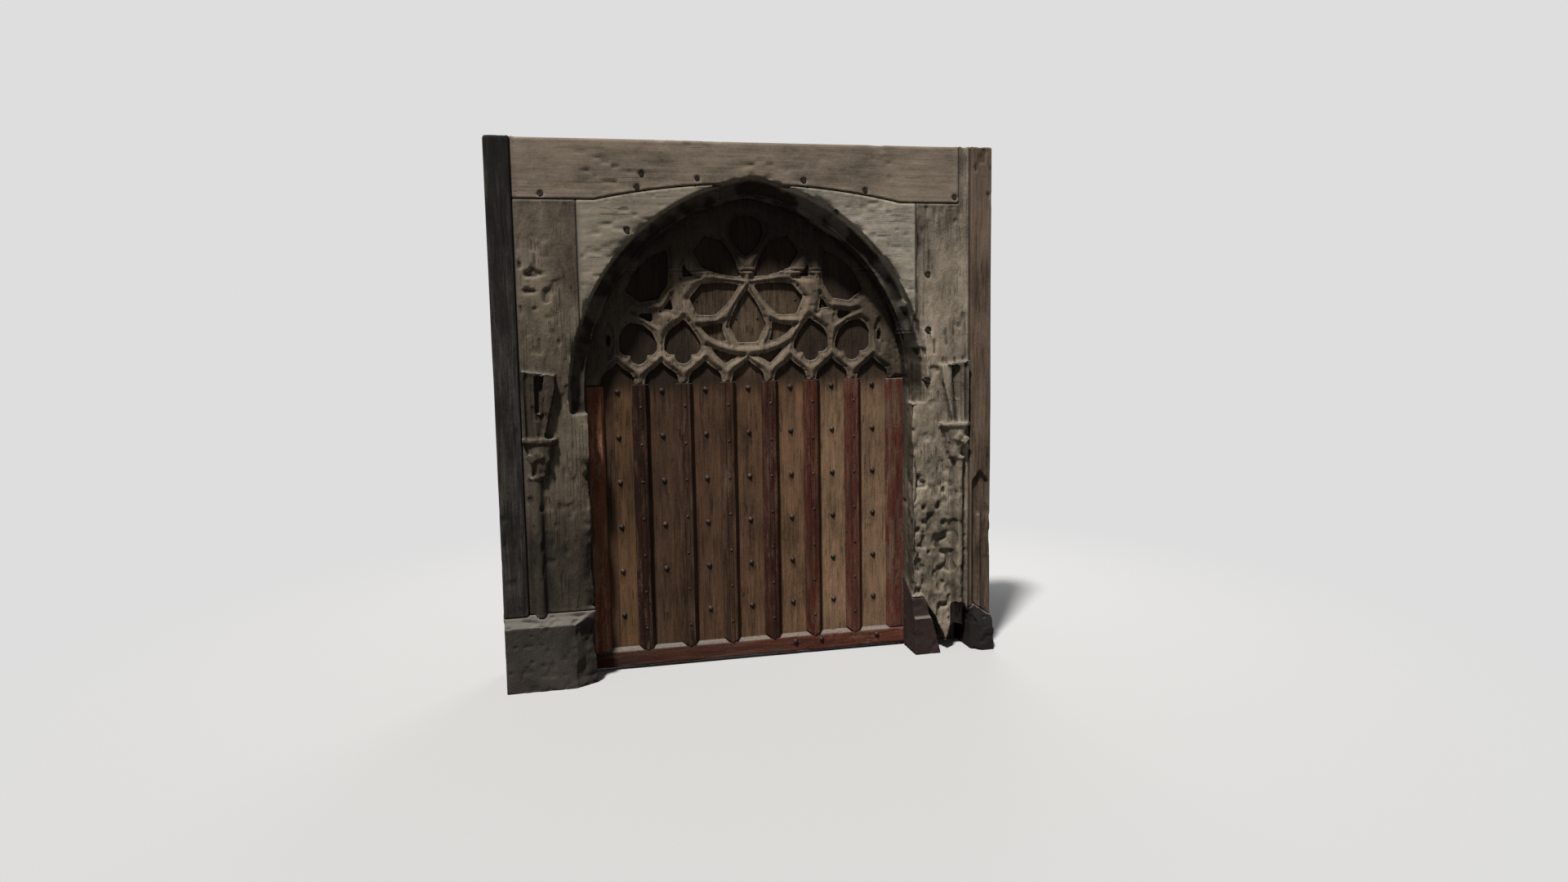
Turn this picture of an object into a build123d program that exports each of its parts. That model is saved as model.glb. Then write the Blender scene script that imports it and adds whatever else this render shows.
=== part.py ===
from build123d import *
import math
import os

# Pointed-arch timber doorway with its boarded, traceried leaf.
# X runs to the right as seen from the front, Y runs through the doorway from
# the front to the back, and Z runs up from the floor. All sizes are millimetres.

# Leaf grid: seven tall panels between six ribs
panel_pitch = 210.0
panels_each_side = 3
side_margin = 145.0  # from the outermost panel centre to the edge of the opening
leaf_lap = 25.0  # leaf hidden behind the frame at each side
leaf_edge_gap = 6.0  # leaf edge to the side of its rebate
leaf_floor_gap = 12.0
rail_face_height = 78.0
rail_bevel_rise = 22.0
rib_length = 1282.0
board_thick = 32.0
board_gap = 1.0
relief = 32.0  # ribs, stiles, rail and tracery stand this far in front of the boards
shoulder_gap = 2.0
leaf_face_y = 37.0
rib_half = 40.0
rib_face_half = 24.0
rib_side = 11.0
quirk_place = 11.0
quirk_size = 3.0
rib_point = 26.0
stile_inner_share = 3.3  # inner edge of each stile, in pitches from the middle
left_extra_joint = 3.1  # one more board joint in the outer left panel, in pitches

# Backs of the boards
ledge_thick = 34.0
ledge_height = 110.0
ledge_count = 6
ledge_inset = 30.0
ledge_chamfer = 8.0
first_row_height = 262.0
last_row_below_tracery = 32.0
head_ledge_above_tracery = 398.0

# Arch and frame
spring_below_tracery = 42.0
arch_offset = 141.0  # each arc is struck from this far beyond the middle line
moulding_width = 80.0
hollow_width = 48.0
hollow_depth = 64.0
fillet_width = 8.0
roll_radius = 8.0
hollow_stop_below_spring = 74.0
reveal_depth = 147.0  # frame face to the faces of the ribs
jamb_width = 300.0
post_width = 115.0
post_proud = 12.0
post_chamfer = 9.0
lintel_height = 195.0
lintel_below_apex = 31.0  # the soffit's middle dips this far below the arch's outer point
lintel_camber = 77.0
camber_half = 720.0  # the soffit is level beyond this distance from the middle
lintel_horn = 55.0  # the right jamb runs up past the lintel's end by this width
key_half = 140.0
joint_height = 5.0
joint_depth = 18.0
arris_chamfer = 14.0
chamfer_foot = 510.0
chamfer_head = 870.0
notch = 16.0
notch_heights = (1119.0, 961.0)  # chipped notch in the right and in the left jamb
spandrel_foot_above_spring = 270.0
spandrel_joint_inset = 25.0

# Shafts, capitals and broken stubs on the jambs
shaft_radius = 26.0
shaft_inset = 54.0  # shaft centre from the jamb's outer edge
shaft_foot = 237.0
capital_foot = 972.0
capital_height = 183.0
capital_width = 158.0
capital_taper = 26.0
capital_projection = 48.0
abacus_height = 22.0
stub_height = 304.0
stub_lean = 58.0

# Plinth stones
plinth_half_depth = 170.0
left_plinth_front = 300.0
left_plinth_height = 345.0
left_plinth_splay = (95.0, 60.0)  # broken arris beside the opening: width and depth
inner_stone_width = 140.0
inner_stone_height = 375.0
inner_stone_knee = (76.0, 248.0)  # where its right edge turns: from the opening, from the floor
inner_stone_front = 20.0  # set back from the other stones
inner_stone_slope = ((21.0, 188.0), (41.0, 278.0), (181.0, 375.0))  # its top, from its front face
outer_stone_splay = (45.0, 48.0)  # left front arris: width and depth
outer_stone_height = 228.0
outer_stone_fall = 62.0
stone_bevel = 24.0
tongue_foot = 40.0  # the decayed foot of the right jamb ends this far up
tongue_half = 32.0
foot_backing = 55.0  # sound timber that still stands on the floor behind the decayed foot
rot_depth = 70.0
recess_half = 41.0  # blind pointed recess in the right post
recess_foot = 160.0
recess_height = 766.0
recess_depth = 22.0

# Ironwork
pin_radius = 8.0
pin_clearance = 0.06
eye_wall = 7.0
eye_gap = 6.0
hinge_standoff = 35.0
strap_thick = 8.0
strap_height = 50.0
strap_end_height = 34.0
strap_length = 1320.0
strap_nail_radius = 9.0
strap_nail_count = 5
pintle_seat_gap = 0.3
pintle_shank = 16.0
shank_depth = 60.0
shank_clearance = 0.3
pintle_plate_width = 40.0
pintle_plate_height = 74.0
pintle_plate_thick = 5.5
pin_rise = 8.0
bolt_radius = 9.0
bolt_length = 340.0
bolt_tip_inset = 10.0
bolt_standoff = 3.0
bolt_handle_radius = 6.0
bolt_handle_drop = 34.0
bolt_handle_from_tip = 190.0
staple_width = 12.0
staple_wall = 4.0
staple_from_tip = 50.0
staple_spacing = 180.0
keeper_from_leaf = 35.0
keeper_width = 20.0
keeper_lip = 10.0
keeper_plate = 64.0
keeper_plate_thick = 5.0
bolt_clearance = 0.45
keeper_clearance = 2.5  # round the bolt in the keeper's square eye
ring_radius = 42.0
ring_wire = 5.0
ring_bore_clearance = 0.9
ring_from_edge = 240.0
ring_above_ledge = 20.0
lug_width = 12.0
lug_wall = 5.0
lug_standoff = 20.0
plate_size = 52.0
plate_thick = 5.0

# Nails and pegs
stud_radius = 14.0
stud_height = 9.0
nail_radius = 7.5
nail_height = 4.0
rail_nail_radius = 13.0
rail_nail_height = 7.0
shank_radius = 3.5
nail_clearance = 0.3
stud_shank = 52.0
nail_shank = 24.0
rib_nail_count = 7
peg_radius = 11.0
peg_clearance = 0.3
peg_length = 60.0
peg_recess = 3.0

# Carving
splay_width = 13.0
splay_depth = 20.0
head_joint_rise = 530.0
petal_bar = 0.16
light_chords = 3
patera_petal = 15.0
patera_spread = 15.0
patera_eye = 8.0
patera_angles = (11.5, 24.0, 40.0, 56.5)

# Worked out from the dimensions above
rail_top = leaf_floor_gap + rail_face_height
tracery_foot = rail_top + rib_length
spring_z = tracery_foot - spring_below_tracery
board_face_y = leaf_face_y + relief
board_back_y = board_face_y + board_thick
ledge_back_y = board_back_y + ledge_thick
shoulder_y = leaf_face_y - shoulder_gap
face_y = leaf_face_y - reveal_depth
opening_half = panels_each_side * panel_pitch + side_margin
leaf_half = opening_half + leaf_lap
rebate_half = leaf_half + leaf_edge_gap
jamb_outer = opening_half + jamb_width
post_outer = jamb_outer + post_width
hinge_x = -(leaf_half + hinge_standoff)
hinge_y = ledge_back_y + strap_thick / 2
eye_radius = pin_radius + pin_clearance + eye_wall
back_y = hinge_y - eye_radius - eye_gap
inner_radius = opening_half + arch_offset
outer_radius = inner_radius + moulding_width
outer_apex_z = spring_z + math.sqrt(outer_radius**2 - arch_offset**2)
soffit_z = outer_apex_z - lintel_below_apex
lintel_top = soffit_z + lintel_height
spandrel_x = opening_half + spandrel_joint_inset
spandrel_foot = spring_z + spandrel_foot_above_spring
arch_lean = inner_radius - math.sqrt(inner_radius**2 - spandrel_foot_above_spring**2)
row_pitch = (tracery_foot - last_row_below_tracery - first_row_height) / (ledge_count - 1)
rows = [first_row_height + row_pitch * i for i in range(ledge_count)]
panel_places = [panel_pitch * i for i in range(-panels_each_side, panels_each_side + 1)]
rib_places = [x + panel_pitch / 2 for x in panel_places[:-1]]
stile_inner = stile_inner_share * panel_pitch


def front_at(y):
    """Plane facing the viewer at depth y: its own axes are X and Z."""
    return Plane.XZ.offset(-y)


def pointed_arch(half_width, foot_z, y):
    """Outline of the doorway's shape: two legs and two arcs that meet in a point."""
    radius = half_width + arch_offset
    half_turn = math.acos(arch_offset / radius) / 2
    apex = (0, spring_z + math.sqrt(radius**2 - arch_offset**2))
    shoulder_x = radius * math.cos(half_turn) - arch_offset
    shoulder_z = spring_z + radius * math.sin(half_turn)
    with BuildSketch(front_at(y)) as outline:
        with BuildLine():
            ThreePointArc((half_width, spring_z), (shoulder_x, shoulder_z), apex)
            ThreePointArc(apex, (-shoulder_x, shoulder_z), (-half_width, spring_z))
            Polyline(
                (-half_width, spring_z),
                (-half_width, foot_z),
                (half_width, foot_z),
                (half_width, spring_z),
            )
        make_face()
    return outline.sketch


def arch_half_width(radius, z):
    """Half the width of an arch of this radius at height z."""
    rise = max(z - spring_z, 0)
    return math.sqrt(radius**2 - rise**2) - arch_offset


def soffit_at(x):
    """Height of the lintel's underside: level at both ends, cambered between."""
    return soffit_z - lintel_camber * min(abs(x) / camber_half, 1) ** 2


def nail(radius, height, length):
    """Rose-head nail: a hammered four-sided head on a round shank, pointing along +Y."""
    with BuildPart() as piece:
        with BuildSketch(front_at(0)):
            RegularPolygon(radius, 8)
        with BuildSketch(front_at(-height)):
            RegularPolygon(radius * 0.3, 8)
        loft(ruled=True)
        with BuildSketch(front_at(0)):
            Circle(shank_radius)
        extrude(amount=-length)
    return piece.part


def nail_group(places, y, radius, height, length):
    """The same nail at each (x, z) place on the plane y, as separate solids."""
    one = nail(radius, height, length)
    return Compound(children=[Pos(x, y, z) * one for x, z in places])


def holes_for(places, y, radius, length):
    """Round holes running back from the plane y, to be cut where nails or pegs pass."""
    with BuildPart() as holes:
        with BuildSketch(front_at(y)):
            with Locations(*places):
                Circle(radius)
        extrude(amount=-length)
    return holes.part


# Voids of the doorway: the plain opening, its rebate, and the moulded edge
with BuildPart() as doorway_void:
    beyond = plinth_half_depth + 10
    extrude(pointed_arch(opening_half, -10, shoulder_y), amount=beyond + shoulder_y)
    extrude(pointed_arch(rebate_half, -10, beyond), amount=beyond - shoulder_y)

hollow_y = face_y + hollow_depth
roll_x = outer_radius - arch_offset - hollow_width - fillet_width
with BuildPart() as moulding_void:
    with BuildSketch(Plane.XY.offset(spring_z)) as moulding_section:
        with BuildLine():
            arris = (outer_radius - arch_offset, face_y)
            hollow_end = (outer_radius - arch_offset - hollow_width, hollow_y)
            hollow_deep = (arris[0] - hollow_width * 0.27, face_y + hollow_depth * 0.8)
            ThreePointArc(arris, hollow_deep, hollow_end)
            Line(hollow_end, (roll_x, hollow_y))
            roll_end = (roll_x - roll_radius, hollow_y + roll_radius)
            roll_crown = (roll_x - roll_radius * 1.6, hollow_y - roll_radius * 0.6)
            ThreePointArc((roll_x, hollow_y), roll_crown, roll_end)
            Polyline(
                roll_end,
                (opening_half, hollow_y + 2 * roll_radius),
                (opening_half - 10, hollow_y + 2 * roll_radius),
                (opening_half - 10, face_y - 20),
                (arris[0], face_y - 20),
                arris,
            )
        make_face()
    revolve(axis=Axis((-arch_offset, 0, spring_z), (0, -1, 0)), revolution_arc=86)
    extrude(moulding_section.sketch, amount=-hollow_stop_below_spring)
    split(bisect_by=Plane.YZ, keep=Keep.TOP)
    mirror(about=Plane.YZ)

# Peg holes: (x, height above the soffit) in the lintel, then (x, z) elsewhere
lintel_pegs = [
    (-0.885 * jamb_outer, 27),
    (-0.49 * jamb_outer, 22),
    (-0.47 * jamb_outer, 78),
    (-0.235 * jamb_outer, 34),
    (0.23 * jamb_outer, 32),
    (0.51 * jamb_outer, 24),
    (jamb_outer - lintel_horn - 22, 30),
]
jamb_pegs = [(spandrel_x + 62, spring_z + rise) for rise in (28, 273, 541)]
spandrel_pegs = [(-0.745 * opening_half, spring_z + 745)]
peg_places = [(x, soffit_at(x) + rise) for x, rise in lintel_pegs] + jamb_pegs + spandrel_pegs
peg_holes = holes_for(peg_places, face_y, peg_radius + peg_clearance, peg_length + peg_recess)

# Lintel: a cambered beam with a short key that carries the arch's point
with BuildPart() as lintel_block:
    with BuildSketch(front_at(back_y)):
        with BuildLine():
            camber_end = soffit_z - lintel_camber
            ThreePointArc((-camber_half, camber_end), (0, soffit_z), (camber_half, camber_end))
            Polyline(
                (camber_half, camber_end),
                (jamb_outer, camber_end),
                (jamb_outer, lintel_top),
                (-jamb_outer, lintel_top),
                (-jamb_outer, camber_end),
                (-camber_half, camber_end),
            )
        make_face()
        with Locations((jamb_outer, soffit_z)):
            Rectangle(2 * lintel_horn, 4 * lintel_height, mode=Mode.SUBTRACT)
        with Locations((0, soffit_z)):
            Rectangle(2 * key_half, 2 * lintel_height)
    extrude(amount=back_y - face_y)
with BuildPart() as lintel_joint:
    add(lintel_block.part)
    add(Pos(0, 0, joint_height) * lintel_block.part, mode=Mode.SUBTRACT)
    with Locations((0, face_y, soffit_z)):
        Box(4 * jamb_outer, 2 * joint_depth, 4 * lintel_height, mode=Mode.INTERSECT)
with BuildPart() as lintel:
    add(lintel_block.part)
    add(lintel_joint.part, mode=Mode.SUBTRACT)
    add(doorway_void.part, mode=Mode.SUBTRACT)
    add(moulding_void.part, mode=Mode.SUBTRACT)
    add(peg_holes, mode=Mode.SUBTRACT)


def patera(angle):
    """Four-petalled flower carved in the hollow of the right-hand arc."""
    turn = math.radians(angle)
    radius = outer_radius - hollow_width * 0.27
    spot = Vector(
        radius * math.cos(turn) - arch_offset,
        face_y + hollow_depth * 0.8,
        spring_z + radius * math.sin(turn),
    )
    outward = Vector(-math.cos(turn), -1, -math.sin(turn)).normalized()
    along = Vector(-math.sin(turn), 0, math.cos(turn))
    seat = Plane(origin=spot - outward * 6, x_dir=along, z_dir=outward)
    with BuildPart() as flower:
        for quarter in range(4):
            swing = math.radians(90 * quarter)
            with BuildSketch(seat):
                with Locations((patera_spread * math.cos(swing), patera_spread * math.sin(swing))):
                    RegularPolygon(patera_petal, 6, rotation=90 * quarter)
            with BuildSketch(seat.offset(19)):
                with Locations((patera_spread * math.cos(swing), patera_spread * math.sin(swing))):
                    RegularPolygon(patera_petal * 0.5, 6, rotation=90 * quarter)
            loft(ruled=True)
        with BuildSketch(seat):
            RegularPolygon(patera_eye, 6)
        extrude(amount=22)
    return flower.part


# Plinth stones
with BuildPart() as left_plinth:
    with BuildSketch(Plane.YZ.offset(-post_outer)):
        with BuildLine():
            Polyline(
                (-plinth_half_depth, 0),
                (-plinth_half_depth, left_plinth_front),
                (face_y, left_plinth_height),
                (plinth_half_depth, left_plinth_height),
                (plinth_half_depth, 0),
                close=True,
            )
        make_face()
    extrude(amount=post_outer - opening_half)
    add(doorway_void.part, mode=Mode.SUBTRACT)
    with BuildSketch():
        with BuildLine():
            Polyline(
                (-opening_half, -plinth_half_depth),
                (-opening_half - left_plinth_splay[0], -plinth_half_depth),
                (-opening_half, -plinth_half_depth + left_plinth_splay[1]),
                close=True,
            )
        make_face()
    extrude(amount=left_plinth_height, mode=Mode.SUBTRACT)

with BuildPart() as right_inner_plinth:
    with BuildSketch(front_at(plinth_half_depth)):
        with BuildLine():
            Polyline(
                (opening_half, 0),
                (opening_half, inner_stone_height),
                (opening_half + inner_stone_knee[0], inner_stone_knee[1]),
                (opening_half + inner_stone_width, 0),
                close=True,
            )
        make_face()
    extrude(amount=2 * plinth_half_depth - inner_stone_front)
    with BuildSketch(Plane.YZ.offset(opening_half)):
        front = inner_stone_front - plinth_half_depth
        with BuildLine():
            Polyline(
                (front, 0),
                (front, inner_stone_slope[0][1]),
                *[(front + back, up) for back, up in inner_stone_slope],
                (plinth_half_depth, inner_stone_height),
                (plinth_half_depth, 0),
                close=True,
            )
        make_face()
    extrude(amount=inner_stone_width, mode=Mode.INTERSECT)
    add(doorway_void.part, mode=Mode.SUBTRACT)

with BuildPart() as right_outer_plinth:
    with BuildSketch(front_at(plinth_half_depth)):
        with BuildLine():
            Polyline(
                (jamb_outer, 0),
                (jamb_outer, outer_stone_height - outer_stone_fall / 3),
                (jamb_outer + stone_bevel, outer_stone_height),
                (post_outer, outer_stone_height - outer_stone_fall),
                (post_outer, 0),
                close=True,
            )
        make_face()
    extrude(amount=2 * plinth_half_depth)
    with BuildSketch(Plane.YZ.offset(jamb_outer)):
        with BuildLine():
            Polyline(
                (-plinth_half_depth, outer_stone_height / 2),
                (-plinth_half_depth, outer_stone_height),
                (-plinth_half_depth + 2 * stone_bevel, outer_stone_height),
                close=True,
            )
        make_face()
    extrude(amount=post_width, mode=Mode.SUBTRACT)
    with BuildSketch():
        with BuildLine():
            Polyline(
                (jamb_outer, -plinth_half_depth),
                (jamb_outer + outer_stone_splay[0], -plinth_half_depth),
                (jamb_outer, -plinth_half_depth + outer_stone_splay[1]),
                close=True,
            )
        make_face()
    extrude(amount=outer_stone_height, mode=Mode.SUBTRACT)

# Right-hand jamb before its foot and joints are cut, with shaft, capital and stub
shaft_x = jamb_outer - shaft_inset
capital_inner = jamb_outer - capital_width
capital_top = capital_foot + capital_height
stub_foot = capital_top
stub_top = stub_foot + stub_height


def capital_plan(z, grow, depth):
    """Half-octagon plan of the capital; grow narrows it on each side."""
    with BuildSketch(Plane.XY.offset(z)) as plan:
        with BuildLine():
            Polyline(
                (capital_inner + grow, face_y + 5),
                (capital_inner + grow, face_y - depth * 0.45),
                (capital_inner + grow + depth * 0.55, face_y - depth),
                (jamb_outer - grow - depth * 0.55, face_y - depth),
                (jamb_outer - grow, face_y - depth * 0.45),
                (jamb_outer - grow, face_y + 5),
                close=True,
            )
        make_face()
    return plan.sketch


with BuildPart() as plain_jamb:
    with Locations(((opening_half + jamb_outer) / 2, (face_y + back_y) / 2, 0)):
        Box(jamb_width, back_y - face_y, lintel_top, align=(Align.CENTER, Align.CENTER, Align.MIN))
    with Locations((opening_half, (face_y + back_y) / 2, spandrel_foot)):
        Box(
            2 * spandrel_joint_inset,
            back_y - face_y,
            lintel_top,
            align=(Align.CENTER, Align.CENTER, Align.MIN),
            mode=Mode.SUBTRACT,
        )
    # foot of the arch, which leans over the opening; the void below trims it to its curve
    with Locations((opening_half, face_y, spring_z)):
        Box(
            3 * arch_lean,
            shoulder_y - face_y,
            spandrel_foot - spring_z,
            align=(Align.CENTER, Align.MIN, Align.MIN),
        )
    add(doorway_void.part, mode=Mode.SUBTRACT)
    add(moulding_void.part, mode=Mode.SUBTRACT)
    add(patera(patera_angles[0]))
    with Locations((shaft_x, face_y, shaft_foot)):
        Cylinder(
            shaft_radius, capital_foot - shaft_foot + 5, align=(Align.CENTER, Align.CENTER, Align.MIN)
        )
    with Locations((shaft_x, face_y, capital_foot)):
        Cylinder(shaft_radius + 7, 12, align=(Align.CENTER, Align.CENTER, Align.MIN))
    loft(
        [
            capital_plan(
                capital_foot + 8, capital_width / 2 - shaft_radius - 3, shaft_radius + 4
            ).face(),
            capital_plan(
                capital_top - abacus_height, capital_taper / 2, capital_projection - 8
            ).face(),
        ],
        ruled=True,
    )
    extrude(capital_plan(capital_top - abacus_height, 0, capital_projection), amount=abacus_height)
    with Locations(
        (shaft_x - 44, face_y - 24, capital_foot + 96),
        (shaft_x - 16, face_y - 36, capital_foot + 110),
        (shaft_x + 22, face_y - 34, capital_foot + 92),
    ):
        Box(26, 24, 46, rotation=(0, 45, 0))
    with BuildSketch(front_at(face_y)):
        with BuildLine():
            Polyline(
                (capital_inner + stub_lean, stub_foot),
                (jamb_outer - 13, stub_foot),
                (jamb_outer - 8, stub_top),
                (capital_inner, stub_top - 20),
                (capital_inner + 6, stub_top - 90),
                close=True,
            )
        make_face()
    extrude(amount=capital_projection - 8)
    with BuildSketch(front_at(face_y - capital_projection)):
        with BuildLine():
            Polyline(
                (capital_inner + 62, stub_top - 24),
                (capital_inner + 96, stub_top - 30),
                (capital_inner + 88, stub_foot + 24),
                close=True,
            )
        make_face()
    extrude(amount=-34, mode=Mode.SUBTRACT)
    with Locations(
        (shaft_x + 2, face_y - capital_projection + 4, stub_foot),
        (shaft_x + 27, face_y - capital_projection + 4, stub_foot),
    ):
        Cylinder(
            10, stub_height - 22, align=(Align.CENTER, Align.CENTER, Align.MIN), mode=Mode.SUBTRACT
        )

with BuildPart() as right_jamb:
    add(plain_jamb.part)
    add(lintel_block.part, mode=Mode.SUBTRACT)
    add(right_inner_plinth.part, mode=Mode.SUBTRACT)
    add(peg_holes, mode=Mode.SUBTRACT)
    # decayed foot: a tongue that hangs between the two stones, hollow in front
    with BuildSketch(front_at(back_y - foot_backing)):
        with BuildLine():
            Polyline(
                (opening_half + inner_stone_width, 0),
                (opening_half + inner_stone_knee[0], inner_stone_knee[1]),
                (shaft_x - 2.5 * tongue_half, tongue_foot + 45),
                (shaft_x - 2 * tongue_half, tongue_foot),
                (shaft_x - tongue_half, tongue_foot + 20),
                (shaft_x, tongue_foot + 75),
                (jamb_outer, tongue_foot + 60),
                (jamb_outer, 0),
                close=True,
            )
        make_face()
    extrude(amount=2 * plinth_half_depth, mode=Mode.SUBTRACT)
    with BuildSketch(front_at(face_y - plinth_half_depth)):
        with BuildLine():
            Polyline(
                (shaft_x - 2 * tongue_half, tongue_foot),
                (shaft_x - tongue_half, shaft_foot * 0.6),
                (shaft_x - shaft_radius, shaft_foot),
                (shaft_x + shaft_radius, shaft_foot),
                (jamb_outer, shaft_foot * 0.8),
                (jamb_outer, tongue_foot),
                close=True,
            )
        make_face()
    extrude(amount=-plinth_half_depth - rot_depth, mode=Mode.SUBTRACT)
    with Locations((opening_half, face_y, notch_heights[0])):
        Box(2 * notch, 2 * notch, notch, mode=Mode.SUBTRACT)

strap_rows = (rows[1], rows[5])
with BuildPart() as left_jamb:
    mirror(plain_jamb.part, about=Plane.YZ)
    add(lintel_block.part, mode=Mode.SUBTRACT)
    add(left_plinth.part, mode=Mode.SUBTRACT)
    with Locations((0, 0, 0)):
        Box(4 * jamb_outer, 4 * plinth_half_depth, 2 * left_plinth_front, mode=Mode.SUBTRACT)
    with Locations((-opening_half, face_y, notch_heights[1])):
        Box(2 * notch, 2 * notch, notch, mode=Mode.SUBTRACT)
    with Locations((-opening_half, face_y, (chamfer_foot + chamfer_head) / 2)):
        Box(
            arris_chamfer * math.sqrt(2),
            arris_chamfer * math.sqrt(2),
            chamfer_head - chamfer_foot,
            rotation=(0, 0, 45),
            mode=Mode.SUBTRACT,
        )
    for row in strap_rows:
        with Locations((hinge_x, back_y, row - strap_height / 2 - pintle_seat_gap - pintle_shank / 2)):
            Box(
                pintle_shank + 2 * shank_clearance,
                2 * (shank_depth + shank_clearance),
                pintle_shank + 2 * shank_clearance,
                mode=Mode.SUBTRACT,
            )

# Spandrels between the arch and the lintel
with BuildPart() as right_spandrel:
    with Locations((key_half, face_y, spandrel_foot)):
        Box(spandrel_x - key_half, back_y - face_y, soffit_z - spandrel_foot, align=(Align.MIN,) * 3)
    add(lintel_block.part, mode=Mode.SUBTRACT)
    add(doorway_void.part, mode=Mode.SUBTRACT)
    add(moulding_void.part, mode=Mode.SUBTRACT)
    for angle in patera_angles[1:]:
        add(patera(angle))
with BuildPart() as left_spandrel:
    mirror(right_spandrel.part, about=Plane.YZ)
    add(peg_holes, mode=Mode.SUBTRACT)

# Posts that close the frame at both sides
post_y = face_y - post_proud
with BuildPart() as plain_post:
    with Locations((jamb_outer, post_y, 0)):
        Box(post_width, back_y - post_y, lintel_top, align=(Align.MIN,) * 3)
    with Locations((jamb_outer, post_y, 0)):
        Box(
            post_chamfer * math.sqrt(2),
            post_chamfer * math.sqrt(2),
            4 * lintel_top,
            rotation=(0, 0, 45),
            mode=Mode.SUBTRACT,
        )
with BuildPart() as left_post:
    mirror(plain_post.part, about=Plane.YZ)
    add(left_plinth.part, mode=Mode.SUBTRACT)
    with Locations((0, 0, 0)):
        Box(4 * jamb_outer, 4 * plinth_half_depth, 2 * left_plinth_front, mode=Mode.SUBTRACT)

recess_x = jamb_outer + post_width / 2
recess_head = recess_foot + recess_height
with BuildPart() as right_post:
    add(plain_post.part)
    with BuildSketch(front_at(post_y)):
        with BuildLine():
            spring = recess_head - 2.2 * recess_half
            Polyline(
                (recess_x - recess_half, spring),
                (recess_x - recess_half, recess_foot),
                (recess_x + recess_half, recess_foot),
                (recess_x + recess_half, spring),
            )
            turn = (recess_half * 0.5, spring + recess_half)
            bow = (recess_half * 0.9, spring + recess_half * 0.62)
            sag = (recess_half * 0.2, spring + recess_half * 1.55)
            for side in (1, -1):
                ThreePointArc(
                    (recess_x + side * recess_half, spring),
                    (recess_x + side * bow[0], bow[1]),
                    (recess_x + side * turn[0], turn[1]),
                )
                ThreePointArc(
                    (recess_x + side * turn[0], turn[1]),
                    (recess_x + side * sag[0], sag[1]),
                    (recess_x, recess_head),
                )
        make_face()
    extrude(amount=-recess_depth, mode=Mode.SUBTRACT)
    with BuildSketch(Plane.XY.offset(recess_foot)):
        with BuildLine():
            Polyline(
                (recess_x - recess_half / 2, post_y + recess_depth + 2),
                (recess_x, post_y + 5),
                (recess_x + recess_half / 2, post_y + recess_depth + 2),
                close=True,
            )
        make_face()
    extrude(amount=recess_height * 0.68)
    add(right_outer_plinth.part, mode=Mode.SUBTRACT)
    with Locations((0, 0, 0)):
        Box(4 * jamb_outer, 4 * plinth_half_depth, outer_stone_height, mode=Mode.SUBTRACT)

# Oak pegs in the frame
with BuildPart() as one_peg:
    with BuildSketch(front_at(0)):
        Circle(peg_radius)
    extrude(amount=-peg_length)
frame_pegs = Compound(children=[Pos(x, face_y + peg_recess, z) * one_peg.part for x, z in peg_places])

# Leaf: where every nail goes
stud_places = [(x, z) for x in panel_places for z in rows if (x, z) != (panel_places[1], rows[0])]
rib_nail_pitch = rib_length / (rib_nail_count + 0.2)
rib_nail_places = [
    (x, rail_top + rib_nail_pitch * (i + 0.6)) for x in rib_places for i in range(rib_nail_count)
]
rail_nail_places = [(share * panel_pitch, rail_top - 23) for share in (1.01, 1.65, 3.04)]
tracery_nail_places = [
    (side * share * panel_pitch, tracery_foot + rise)
    for side in (1, -1)
    for share, rise in ((1.15, 390), (0.25, 303))
]
stud_holes = holes_for(stud_places, board_face_y, shank_radius + nail_clearance, stud_shank)
rib_nail_holes = holes_for(rib_nail_places, leaf_face_y, shank_radius + nail_clearance, nail_shank)
rail_nail_holes = holes_for(rail_nail_places, leaf_face_y, shank_radius + nail_clearance, nail_shank)
tracery_nail_holes = holes_for(
    tracery_nail_places, board_face_y, shank_radius + nail_clearance, nail_shank
)

# Boards
joints = [-leaf_half, -left_extra_joint * panel_pitch] + rib_places + [leaf_half]
with BuildPart() as board_slab:
    extrude(pointed_arch(leaf_half, leaf_floor_gap, board_back_y), amount=board_thick)
    add(stud_holes, mode=Mode.SUBTRACT)
    add(tracery_nail_holes, mode=Mode.SUBTRACT)
boards = []
for left, right in zip(joints[:-1], joints[1:]):
    start = left + (board_gap / 2 if left > -leaf_half else 0)
    end = right - (board_gap / 2 if right < leaf_half else 0)
    with BuildPart() as board:
        add(board_slab.part)
        with Locations(((start + end) / 2, 0, 0)):
            Box(end - start, 4 * lintel_top, 4 * lintel_top, mode=Mode.INTERSECT)
    boards.append(board.part)

# Bottom rail with its sloping top
with BuildPart() as bottom_rail:
    with BuildSketch(Plane.YZ.offset(-leaf_half)):
        with BuildLine():
            Polyline(
                (leaf_face_y, leaf_floor_gap),
                (leaf_face_y, rail_top),
                (board_face_y, rail_top + rail_bevel_rise),
                (board_face_y, leaf_floor_gap),
                close=True,
            )
        make_face()
    extrude(amount=2 * leaf_half)
    add(rail_nail_holes, mode=Mode.SUBTRACT)

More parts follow.
